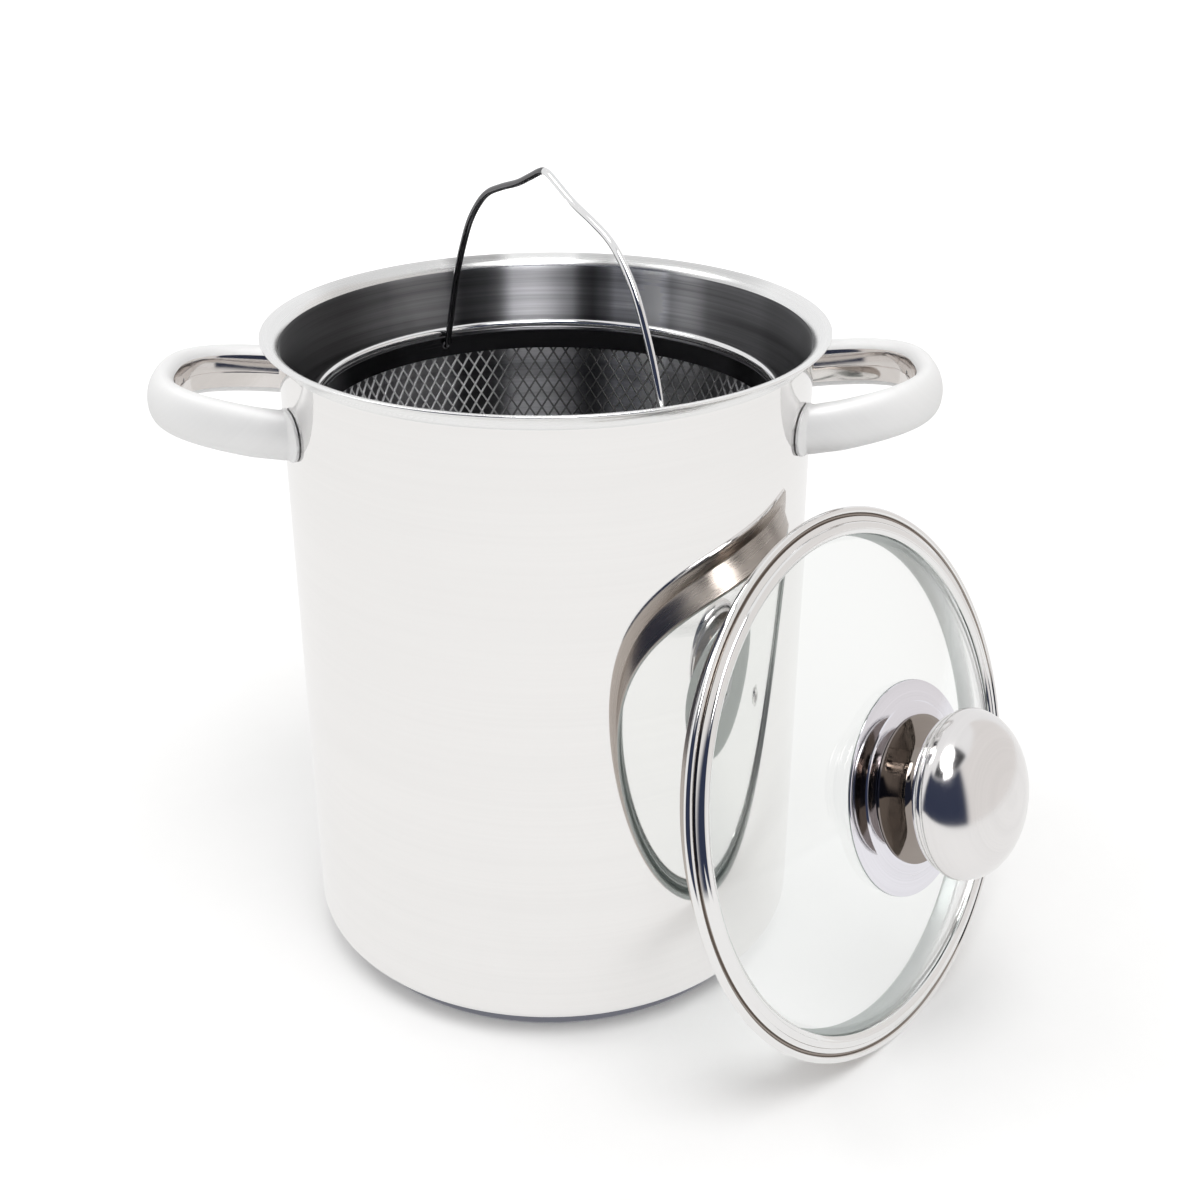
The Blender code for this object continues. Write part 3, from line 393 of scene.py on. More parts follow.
def handling_haze() -> bpy.types.NodeTree:
    """Faint cloudy marks from wiping and handling.

    Returns:
        A group that puts out Haze from 0 to 1.
    """
    wire, source, sink = new_group("handling_haze", {"Vector": None, "Scale": 28.0}, ("Haze",))
    cloud = wire.add('ShaderNodeTexNoise', {"Vector": source["Vector"], "Scale": source["Scale"],
                                            "Detail": 4.0, "Distortion": 0.6})
    wire.fill(sink, {"Haze": cloud.outputs["Fac"]})
    return wire.tree


def spot_dimples() -> bpy.types.NodeTree:
    """Round shallow dimples at two places, repeated in all four quarters round Z.

    Returns:
        A group that puts out Depth from 0 to 1.
    """
    wire, source, sink = new_group(
        "spot_dimples", {"Vector": None, "Upper": None, "Lower": None, "Radius": 0.001},
        ("Depth",))
    folded = wire.vector('ABSOLUTE', source["Vector"])[0]
    depths = []
    for label in ("Upper", "Lower"):
        away = wire.vector('DISTANCE', folded, source[label])["Value"]
        share = wire.math('DIVIDE', away, source["Radius"])
        depths.append(wire.ramp(share, 1.0, 0.2, smooth=True))
    wire.fill(sink, {"Depth": wire.math('MAXIMUM', *depths)})
    return wire.tree


@dataclass
class Groups:
    """The shared node groups, each made once."""

    lines: bpy.types.NodeTree = field(default_factory=polishing_lines)
    haze: bpy.types.NodeTree = field(default_factory=handling_haze)
    dimples: bpy.types.NodeTree = field(default_factory=spot_dimples)


# Finishes

def new_material(name: str) -> tuple[Material, Wiring, bpy.types.Node]:
    """Start a node material.

    Args:
        name: The material's name.

    Returns:
        The material, its wiring and its Principled shader.
    """
    material = bpy.data.materials.new(name)
    material.use_nodes = True
    return material, Wiring(material.node_tree), material.node_tree.nodes["Principled BSDF"]


def tinted(colour: Colour, factor: float) -> Colour:
    """The colour made darker or lighter."""
    return tuple(min(channel * factor, 1) for channel in colour)


def heading(degrees: float) -> Place:
    """The level direction at a bearing, counted from +X towards +Y."""
    turn = math.radians(degrees)
    return math.cos(turn), math.sin(turn), 0


@dataclass(frozen=True)
class Finish:
    """A procedural material with a name of its own."""

    name: str

    def build(self, groups: Groups) -> Material:
        """Make the material.

        Args:
            groups: The shared node groups.

        Returns:
            The material.
        """
        material, wire, shader = new_material(self.name)
        spot = wire.add('ShaderNodeTexCoord').outputs["Object"]
        self.dress(groups, wire, shader, spot)
        return material

    def dress(self, groups: Groups, wire: Wiring, shader: bpy.types.Node,
              spot: Socket) -> None:
        """Give the Principled shader its inputs.

        Args:
            groups: The shared node groups.
            wire: The material's wiring.
            shader: The Principled shader.
            spot: The place on the surface.
        """
        raise NotImplementedError


@dataclass(frozen=True)
class SteelFinish(Finish):
    """Stainless steel with lines that run round an axis, and any bands of painted reflection and
    painted shade that it is given.

    Args:
        colour: Its mean colour.
        roughness: Its mean roughness.
        line_roughness: How far the lines change the roughness.
        line_tone: How far the lines change the colour.
        haze: How far handling marks change the roughness.
        density: Lines for each metre.
        anisotropy: How much the lines stretch a highlight across them.
        metallic: 1 for bare metal, less where a blasted skin scatters light.
        axis: Moves Object coordinates to the frame of the lines.
        dimples: Two places and a radius for spot welds.
        streaks: Painted reflections and painted shade: the bearing, half width and tone
            factor of each lighter or darker band round Z, the first two in degrees.
        painted_streak_core: The share of the half width that has the full tone.
        painted_streak_fade: The tone has faded at this share of the half width and a degree more.
        dimple_depth: A dimple's depth as a share of its radius.
    """

    colour: Colour
    roughness: float
    line_roughness: float
    line_tone: float
    haze: float
    density: float
    anisotropy: float = 0.0
    metallic: float = 1.0
    axis: Matrix | None = None
    dimples: tuple[Vector, Vector, float] | None = None
    streaks: tuple[tuple[float, float, float], ...] = ()
    painted_streak_core: float = 0.7
    painted_streak_fade: float = 1.6
    dimple_depth: float = 0.3

    def with_painted_bands(self, wire: Wiring, spot: Socket, colour: Socket) -> Socket:
        """The colour with the bands of painted reflection and painted shade on it.

        Args:
            wire: The material's wiring.
            spot: The place on the surface.
            colour: The colour without streaks.

        Returns:
            The colour to use.
        """
        flat = wire.level(spot)
        # Each band multiplies the colour by its tone: painted reflection where lighter, painted
        # shade where darker
        for bearing, half, tone in self.streaks:
            near = wire.vector('DOT_PRODUCT', flat, heading(bearing))["Value"]
            edges = (self.painted_streak_fade * half + 1, self.painted_streak_core * half)
            outer, inner = (math.cos(math.radians(edge)) for edge in edges)
            factor = wire.ramp(near, outer, inner, 1.0, tone, smooth=True)
            colour = wire.vector('MULTIPLY', colour, factor)[0]
        return colour

    def dress(self, groups: Groups, wire: Wiring, shader: bpy.types.Node,
              spot: Socket) -> None:
        """Lay lines, handling marks, painted reflections and painted shade on the steel.

        Args:
            groups: The shared node groups.
            wire: The material's wiring.
            shader: The Principled shader.
            spot: The place on the surface.
        """
        if self.axis:
            turn = self.axis.inverted()
            spot = wire.add('ShaderNodeMapping',
                            {"Vector": spot, "Location": turn.to_translation(),
                             "Rotation": turn.to_euler()}).outputs[0]
        lines = wire.add('ShaderNodeGroup', {"Vector": spot, "Density": self.density},
                         node_tree=groups.lines).outputs
        haze = wire.add('ShaderNodeGroup', {"Vector": spot}, node_tree=groups.haze)
        rough = wire.ramp(lines["Lines"], *LINE_SPAN,
                          max(self.roughness - self.line_roughness, 0.01),
                          self.roughness + self.line_roughness)
        cloud = wire.ramp(haze.outputs["Haze"], *MARK_SPAN, 0.0, self.haze)
        mean = wire.math('MULTIPLY', wire.math('ADD', lines["Lines"], lines["Bands"]), 0.5)
        colour = wire.mix(wire.ramp(mean, *TONE_SPAN), tinted(self.colour, 1 - self.line_tone),
                          tinted(self.colour, 1 + self.line_tone))
        wire.fill(shader, {"Base Color": self.with_painted_bands(wire, spot, colour),
                           "Roughness": wire.math('ADD', rough, cloud),
                           "Metallic": self.metallic})
        if self.dimples:
            upper, lower, radius = self.dimples
            group = wire.add('ShaderNodeGroup', {"Vector": spot, "Upper": upper,
                                                 "Lower": lower, "Radius": radius},
                             node_tree=groups.dimples)
            height = wire.math('MULTIPLY', group.outputs["Depth"], -self.dimple_depth * radius)
            bump = wire.add('ShaderNodeBump', {"Height": height, "Distance": 1.0})
            wire.fill(shader, {"Normal": bump.outputs[0]})
        if self.anisotropy:
            tangent = wire.add('ShaderNodeTangent', direction_type='RADIAL', axis='Z')
            wire.fill(shader, {"Anisotropic": self.anisotropy, "Anisotropic Rotation": 0.25,
                               "Tangent": tangent.outputs[0]})


@dataclass(frozen=True)
class GlassFinish(Finish):
    """Clear tempered glass with faint wiping marks and the light shadow of clear glass.

    Args:
        colour: The tint of what is seen through it.
        shadow: The tint of its shadow.
        index: How far it bends light.
        smear: The roughness of a wiping mark.
    """

    name: str = "lid_glass_clear"
    colour: Colour = (0.982, 0.996, 0.990)
    shadow: Colour = (0.97, 0.98, 0.975)
    index: float = 1.5
    smear: float = 0.012

    def dress(self, groups: Groups, wire: Wiring, shader: bpy.types.Node,
              spot: Socket) -> None:
        """Make the glass clear, with a light shadow.

        Args:
            groups: The shared node groups.
            wire: The material's wiring.
            shader: The Principled shader.
            spot: The place on the surface.
        """
        haze = wire.add('ShaderNodeGroup', {"Vector": spot}, node_tree=groups.haze)
        rough = wire.ramp(haze.outputs["Haze"], *WIPE_SPAN, 0.0, self.smear)
        wire.fill(shader, {"Base Color": (*self.colour, 1), "IOR": self.index,
                           "Roughness": rough, "Transmission Weight": 1.0})
        clear = wire.add('ShaderNodeBsdfTransparent', {"Color": (*self.shadow, 1)})
        shadow = wire.add('ShaderNodeLightPath').outputs["Is Shadow Ray"]
        wire.fill(wire.tree.nodes["Material Output"],
                  {"Surface": wire.blend(shadow, shader.outputs[0], clear.outputs[0])})


@dataclass(frozen=True)
class PlainFinish(Finish):
    """A dielectric or cast surface with a cloudy tone.

    Args:
        colour: Its mean colour.
        roughness: Its roughness.
        metallic: 1 for bare metal.
        mottle: How far the clouds change the tone.
        mottle_scale: Clouds for each metre.
    """

    colour: Colour
    roughness: float
    metallic: float = 0.0
    mottle: float = 0.06
    mottle_scale: float = 220.0

    def dress(self, groups: Groups, wire: Wiring, shader: bpy.types.Node,
              spot: Socket) -> None:
        """Mottle the tone.

        Args:
            groups: The shared node groups.
            wire: The material's wiring.
            shader: The Principled shader.
            spot: The place on the surface.
        """
        haze = wire.add('ShaderNodeGroup', {"Vector": spot, "Scale": self.mottle_scale},
                        node_tree=groups.haze)
        colour = wire.mix(haze.outputs["Haze"], tinted(self.colour, 1 - self.mottle),
                          tinted(self.colour, 1 + self.mottle))
        wire.fill(shader, {"Base Color": colour, "Roughness": self.roughness,
                           "Metallic": self.metallic})


@dataclass(frozen=True)
class LidPose:
    """How the lid leans.

    Args:
        centre: The middle of its flange.
        facing: The bearing that its top faces, in degrees.
        lean: How far its top looks up from level, in degrees.
    """

    centre: Place = (0.09362, -0.06104, 0.08072)
    facing: float = -41.7
    lean: float = 16.2

    def matrix(self) -> Matrix:
        """Work out how the lid stands.

        Returns:
            Moves the lid's own frame, with Z out of its top, to the pot's.
        """
        facing, lean = math.radians(self.facing), math.radians(self.lean)
        out = Vector((math.cos(lean) * math.cos(facing), math.cos(lean) * math.sin(facing),
                      math.sin(lean)))
        across = Vector((-math.sin(facing), math.cos(facing), 0))
        turn = Matrix((across, out.cross(across), out)).transposed().to_4x4()
        return Matrix.Translation(self.centre) @ turn


class Finishes:
    """Every material of the object."""

    def __init__(self, groups: Groups, pose: LidPose) -> None:
        """Make the materials.

        Args:
            groups: The shared node groups.
            pose: The lid's pose, which the lines on its pieces follow.
        """
        lid = pose.matrix()

        def steel(*values, **settings) -> Material:
            """The material of a steel finish with these values."""
            return SteelFinish(*values, **settings).build(groups)

        # Name, colour, roughness, then what the lines and the handling marks change,
        # and the lines for each metre
        self.wall = steel("pot_wall_mirror", (0.875, 0.865, 0.855), 0.035,
                          0.008, 0.010, 0.03, 900.0)
        # Painted shade and painted reflections: a dark colour for the shaded inside, and lighter
        # and darker bands by bearing that stand in for reflections
        self.inside = steel("pot_inside_brushed", (0.25, 0.25, 0.26), 0.42,
                            0.08, 0.32, 0.02, 1300.0, anisotropy=1.0,
                            streaks=((92, 8, 1.8), (107, 5, 0.35), (78, 3, 0.5), (68, 6, 3.2),
                                     (57, 6, 1.8), (42, 8, 0.75), (122, 6, 1.3),
                                     (165, 22, 0.45), (12, 14, 0.55)))
        # Painted reflections: darker bands by bearing across the polished rim
        self.rim = steel("pot_rim_polished", (0.86, 0.86, 0.855), 0.26,
                         0.03, 0.03, 0.02, 1800.0,
                         streaks=((107, 5, 0.5), (78, 3, 0.75), (132, 15, 0.8), (54, 17, 0.76)))
        # Painted shade: the base's dark bluish colour stands in for the shadow at the foot of the
        # pot
        self.base = steel("base_cap_satin", (0.20, 0.205, 0.24), 0.22, 0.04, 0.06, 0.03, 2200.0)
        self.handle = steel("handle_satin", (0.80, 0.80, 0.80), 0.50, 0.02, 0.015, 0.03, 700.0,
                            metallic=0.20, dimples=(Vector((0.0716, 0.0376, 0.1858)),
                                                    Vector((0.0716, 0.0376, 0.1813)), 0.0011))
        self.handle_inside = steel("handle_polished", (0.74, 0.71, 0.69), 0.08,
                                   0.012, 0.03, 0.03, 700.0)
        self.wire = steel("basket_wire_bright", (0.80, 0.80, 0.80), 0.09,
                          0.02, 0.04, 0.02, 1200.0)
        # Painted shade: near-black for the bands, standing in for the dark inside of the pot that
        # they reflect
        self.band = steel("basket_band_dark", (0.07, 0.07, 0.075), 0.22,
                          0.05, 0.10, 0.04, 2400.0)
        # Painted shade: the strands are darker in two bands, at bearings of 90 and 58 degrees
        self.strand = steel("basket_strand", (0.88, 0.88, 0.89), 0.16, 0.05, 0.10, 0.05, 900.0,
                            metallic=0.40, streaks=((90, 12, 0.22), (58, 22, 0.22)))
        self.floor = steel("basket_floor_satin", (0.50, 0.50, 0.51), 0.30,
                           0.05, 0.08, 0.05, 1500.0)
        self.bail = steel("bail_polished", (0.80, 0.80, 0.80), 0.08, 0.02, 0.03, 0.02, 1500.0)
        # Painted shade: a dark copy of the polished bail for one of its halves
        self.bail_dark = steel("bail_darkened", (0.12, 0.12, 0.125), 0.14,
                               0.03, 0.05, 0.02, 1500.0)
        self.lid_rim = steel("lid_rim_polished", (0.84, 0.835, 0.83), 0.055,
                             0.012, 0.02, 0.02, 1600.0, axis=lid)
        # Painted shade: dark satin inside the lid's skirt, under its lip, and under the knob's
        # disc
        self.painted_shade_satin = steel("lid_skirt_satin", (0.42, 0.45, 0.44), 0.30,
                                  0.04, 0.05, 0.03, 1600.0, axis=lid)
        # Painted shade and painted reflection: the skirt's outside is darkened and browned
        self.skirt = steel("lid_skirt_polished", (0.48, 0.435, 0.40), 0.28,
                           0.05, 0.08, 0.02, 1600.0, axis=lid)
        self.disc = steel("knob_disc_spun", (0.80, 0.79, 0.84), 0.08,
                          0.03, 0.05, 0.02, 2600.0, axis=lid)
        self.knob = steel("knob_polished", (0.80, 0.785, 0.78), 0.14,
                          0.03, 0.035, 0.02, 2200.0, axis=lid)
        # Painted shade: a dark brown colour for the neck's waist, which also darkens the rim's
        # groove
        self.neck = steel("knob_neck_polished", (0.30, 0.265, 0.24), 0.06,
                          0.015, 0.03, 0.01, 1800.0, axis=lid)
        self.washer = steel("washer_satin", (0.48, 0.50, 0.50), 0.25,
                            0.05, 0.06, 0.04, 1800.0, axis=lid)
        self.glass = GlassFinish().build(groups)
        self.silicone = PlainFinish("gasket_silicone", (0.62, 0.63, 0.61), 0.5).build(groups)
        self.aluminium = PlainFinish("base_core_aluminium", (0.70, 0.70, 0.71), 0.35,
                                     1.0).build(groups)


# What the sub-assemblies share

@dataclass
class Assembly:
    """Pieces that ride on one body and sit at the origin.

    Args:
        finishes: The object's materials.
    """

    body: ClassVar[Body]
    finishes: Finishes

    @property
    def place(self) -> Matrix:
        """Moves the pieces from the assembly's own frame to the pot's."""
        return Matrix()

    def build(self) -> None:
        """Make every piece of the assembly."""
        raise NotImplementedError

    def settle(self, item: bpy.types.Object, slot: Slot, node: str) -> None:
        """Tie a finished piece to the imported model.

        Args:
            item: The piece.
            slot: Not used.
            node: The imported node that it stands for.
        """
        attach(item, self.body.value)
        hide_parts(node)
        log.info("%s: %d faces", item.name, len(item.data.polygons))

    def add(self, node: str, bm: Mesh, slot: Slot, materials: Sequence[Material],
            name: str = "", own: Matrix | None = None,
            paint: Callable[[Vector], int] | None = None, crease: float = 35.0) -> None:
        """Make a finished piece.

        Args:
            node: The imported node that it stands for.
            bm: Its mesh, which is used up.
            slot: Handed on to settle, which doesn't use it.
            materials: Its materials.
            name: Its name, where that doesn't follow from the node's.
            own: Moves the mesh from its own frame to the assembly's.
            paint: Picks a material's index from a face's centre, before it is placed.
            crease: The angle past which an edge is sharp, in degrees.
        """
        bmesh.ops.recalc_face_normals(bm, faces=bm.faces)
        if paint:
            for face in bm.faces:
                face.material_index = paint(face.calc_center_median())
        bm.transform(self.place @ own if own else self.place)
        name = name or f"{node}_fine"
        mesh = to_mesh(name, bm)
        for material in materials:
            mesh.materials.append(material)
        mesh.shade_smooth()
        mesh.set_sharp_from_angle(angle=math.radians(crease))
        self.settle(put(name, mesh), slot, node)


# The pot

@dataclass
class Pot(Assembly):
    """The drawn body and its encapsulated base."""

    body = Body.POT
    inner_radius: float = 0.0800
    wall: float = 0.0008
    height: float = 0.2078
    corner: float = 0.0080
    flare: float = 0.0046
    core: float = 0.0040
    cap_sheet: float = 0.0006
    cap_edge: float = 0.0012

    @property
    def outer_radius(self) -> float:
        """Outside of the wall."""
        return self.inner_radius + self.wall

    @property
    def cap_radius(self) -> float:
        """Outside of the base."""
        return self.outer_radius - self.corner

    @property
    def bottom(self) -> float:
        """Underside of the body."""
        return self.cap_sheet + 2 * GAP + self.core

    def build(self) -> None:
        """Make the body and the base."""
        corner = (self.cap_radius, self.bottom + self.corner)
        flare_inner = self.flare + self.wall
        flare = (self.outer_radius + self.flare, self.height - flare_inner)
        edge = (flare[0], self.height - 0.5 * self.wall)
        levels = [corner[1] + (flare[1] - corner[1]) * step / 12 for step in range(1, 12)]
        profile = [(0, self.bottom), (0.5 * self.cap_radius, self.bottom)]
        profile += arc(corner, self.corner, -90, 0, 12)
        profile += [(self.outer_radius, level) for level in levels]
        profile += arc(flare, self.flare, 180, 90, 12)[:-1]
        profile += arc(edge, 0.5 * self.wall, -90, 90, 6)
        profile += arc(flare, flare_inner, 90, 180, 12)[1:]
        profile += [(self.inner_radius, level) for level in reversed(levels)]
        profile += arc(corner, self.corner - self.wall, 0, -90, 10)
        floor = self.bottom + self.wall
        profile += [(0.5 * self.cap_radius, floor), (0, floor)]
        middle = self.inner_radius + 0.5 * self.wall

        def paint(centre: Vector) -> int:
            """Pick a face's finish.

            Args:
                centre: The face's centre.

            Returns:
                0 for the wall, 1 for the inside, with its painted shade and painted reflections,
                and 2 for the rim, with painted reflections.
            """
            reach = math.hypot(centre.x, centre.y)
            if centre.z > flare[1]:
                return 2 if reach > middle else 1
            if centre.z > corner[1]:
                return 0 if reach > middle else 1
            away = math.hypot(reach - corner[0], centre.z - corner[1])
            inside = centre.z > self.bottom + 0.5 * self.wall
            if reach > corner[0]:
                inside = away < self.corner - 0.5 * self.wall
            return 1 if inside else 0

        self.add("pot_body", turned(profile, FINE, closed=False), Slot.MIRROR,
                 (self.finishes.wall, self.finishes.inside, self.finishes.rim), paint=paint)
        top = self.bottom - GAP
        centre = (self.cap_radius - self.cap_edge, self.cap_edge)
        cap = [(0, 0), (0.5 * self.cap_radius, 0)] + arc(centre, self.cap_edge, -90, 0, 6)
        lip = 0.25 * self.cap_sheet
        cap += [(self.cap_radius, top - lip), (self.cap_radius - lip, top),
                (self.cap_radius - self.cap_sheet, top)]
        cap += arc(centre, self.cap_edge - self.cap_sheet, 0, -90, 4) + [(0, self.cap_sheet)]
        # The base cap takes the dark colour of painted shade
        self.add("base_cap", turned(cap, FINE, closed=False), Slot.SATIN,
                 (self.finishes.base,))


@dataclass
class LoopHandle(Assembly):
    """A hollow stamped loop: round outside, flatter on the finger side, with an ear."""

    body = Body.POT
    side: int
    node: str
    wall_radius: float = 0.0808
    rim_height: float = 0.2078
    projection: float = 0.0402
    half_width: float = 0.0315
    inset: float = 0.0263
    squareness: float = 2.73
    drop: float = 0.0242
    slope: float = 0.14
    thickness: float = 0.0084
    depth: float = 0.0152
    sheet: float = 0.0010
    ear_width: float = 0.0055
    inner_ear_width: float = 0.0015
    ear_reach: float = 0.0048
    vent_radius: float = 0.0008
    vent_station: int = 7
    finger_share: float = 0.79
    stations: int = 44
    samples: int = 800
    halvings: int = 40

    def section(self) -> list[Spot]:
        """Draw the tube's section: an arc outside, and two creases and a seam inside.

        Returns:
            The section's points as (outwards, up).
        """
        points = [(math.cos(math.radians(turn)), math.sin(math.radians(turn)))
                  for turn in range(-90, 91, 9)]
        upper = [(-0.22, 0.985), (-0.42, 0.930), (-0.60, 0.845), (-0.73, 0.755),
                 (-0.80, 0.690), (-0.835, 0.640), (-0.90, 0.500), (-0.95, 0.330),
                 (-0.985, 0.150), (-0.998, 0.040), (-0.955, 0.0)]
        lower = [(out, -up) for out, up in reversed(upper[:-1])]
        half_thickness, half_depth = 0.5 * self.thickness, 0.5 * self.depth
        return [(out * half_thickness, up * half_depth) for out, up in points + upper + lower]

    def centre_line(self) -> list[tuple[Vector, Vector]]:
        """Lay out half of the loop in plan, at even steps from the wall to its middle.

        Returns:
            Each point of the line, with its direction outwards.
        """
        centre_x = self.wall_radius - self.inset
        reach = self.inset + self.projection - 0.5 * self.thickness
        power = 2 / self.squareness

        def point(turn: float) -> Vector:
            """The line's point at this turn from the loop's side."""
            return Vector((centre_x + reach * math.sin(turn) ** power,
                           self.half_width * math.cos(turn) ** power))

        low, high = 0.0, 0.5 * math.pi
        for _ in range(self.halvings):
            middle = 0.5 * (low + high)
            if point(middle).x < self.wall_radius + self.ear_reach:
                low = middle
            else:
                high = middle
        fine = [point(low + (0.5 * math.pi - low) * step / self.samples)
                for step in range(self.samples)]
        fine.append(Vector((centre_x + reach, 0)))
        run = [0.0]
        for first, second in zip(fine, fine[1:]):
            run.append(run[-1] + (second - first).length)
        line = []
        for station in range(self.stations + 1):
            target = run[-1] * station / self.stations
            index = min(range(len(run)), key=lambda spot: abs(run[spot] - target))
            before, after = fine[max(index - 2, 0)], fine[min(index + 2, len(fine) - 1)]
            along = (after - before).normalized()
            across = Vector((-along.y, along.x))
            if across.y < 0 and fine[index].y > 0:
                across = -across
            line.append((fine[index], across))
        line[-1] = (fine[-1], Vector((1, 0)))
        return line

    def wall_ring(self, arm: Vector, mirror: int, stand_off: float,
                  share: float) -> list[Vector]:
        """A ring that follows the pot's wall at one end.

        Args:
            arm: Where the arm's line meets the wall, in plan.
            mirror: 1 for the far arm, -1 for the near one.
            stand_off: Distance from the wall.
            share: How much of the ear's width it spreads by.

        Returns:
            The ring's points.
        """
        height = self.rim_height - self.drop
        radius = self.wall_radius + stand_off
        bearing = math.asin(arm.y / self.wall_radius)
        points = []
        for offset, up in self.section():
            width = self.ear_width if offset > 0 else self.inner_ear_width
            reach = min(abs(offset) / (0.5 * self.thickness), 1.0)
            across = offset + math.copysign(share * width * math.sqrt(reach), offset)
            angle = bearing + across / self.wall_radius
            points.append(Vector((self.side * radius * math.cos(angle),
                                  mirror * radius * math.sin(angle), height + up)))
        return points

    def build(self) -> None:
        """Make the handle."""
        line = self.centre_line()
        height = self.rim_height - self.drop

        def ring(point: Vector, across: Vector, mirror: int) -> list[Vector]:
            """Set the section across the line.

            Args:
                point: The line's point in plan.
                across: The direction outwards there.
                mirror: 1 for the far arm, -1 for the near one.

            Returns:
                The ring's points.
            """
            rise = self.slope * (point.x - self.wall_radius)
            points = []
            for offset, up in self.section():
                points.append(Vector((
                    self.side * (point.x + across.x * offset - self.slope * up),
                    mirror * (point.y + across.y * offset),
                    height + rise + self.slope * across.x * offset + up)))
            return points

        # Distances from the wall, and the shares of the ear's width there
        face = GAP + self.sheet
        blend = 0.35 * (self.ear_reach - face)
        stops = [(GAP, 0.97), (face - 0.25 * self.sheet, 1.0), (face, 0.96)]
        for step in range(1, 9):
            turn = math.radians(90 * step / 8)
            stops.append((face + blend * (1 - math.cos(turn)),
                          0.12 + 0.80 * (1 - math.sin(turn)) ** 1.3))
        arm = line[0][0]
        ends = {mirror: [self.wall_ring(arm, mirror, stand, share) for stand, share in stops]
                for mirror in (1, -1)}
        rings = ends[1] + [ring(point, across, 1) for point, across in line]
        rings += [ring(point, across, -1) for point, across in reversed(line[:-1])]
        rings += ends[-1][::-1]
        bm = rings_to_skin(rings)
        point, across = line[-self.vent_station]
        middle = height + self.slope * (point.x - self.wall_radius)
        reach = 0.5 * self.thickness
        drill = [Vector((self.side * (point.x - across.x * share * reach),
                         point.y - abs(across.y) * share * reach, middle))
                 for share in (1.4, 0.5)]
        bm = carve(bm, [rod(*drill, self.vent_radius, 20)])

        def paint(centre: Vector) -> int:
            """Pick a face's finish.

            Args:
                centre: The face's centre.

            Returns:
                0 for the satin outside and 1 for the polished finger side.
            """
            spot = Vector((self.side * centre.x, abs(centre.y)))
            point, across = min(line, key=lambda station: (station[0] - spot).length_squared)
            rise = self.slope * (point.x - self.wall_radius)
            tilt = self.slope * (centre.z - height - rise)
            offset = (spot - point).dot(across) + tilt * across.x
            return 1 if offset < -self.finger_share * reach else 0

        self.add(self.node, bm, Slot.MIRROR,
                 (self.finishes.handle, self.finishes.handle_inside), paint=paint, crease=28)


# The basket

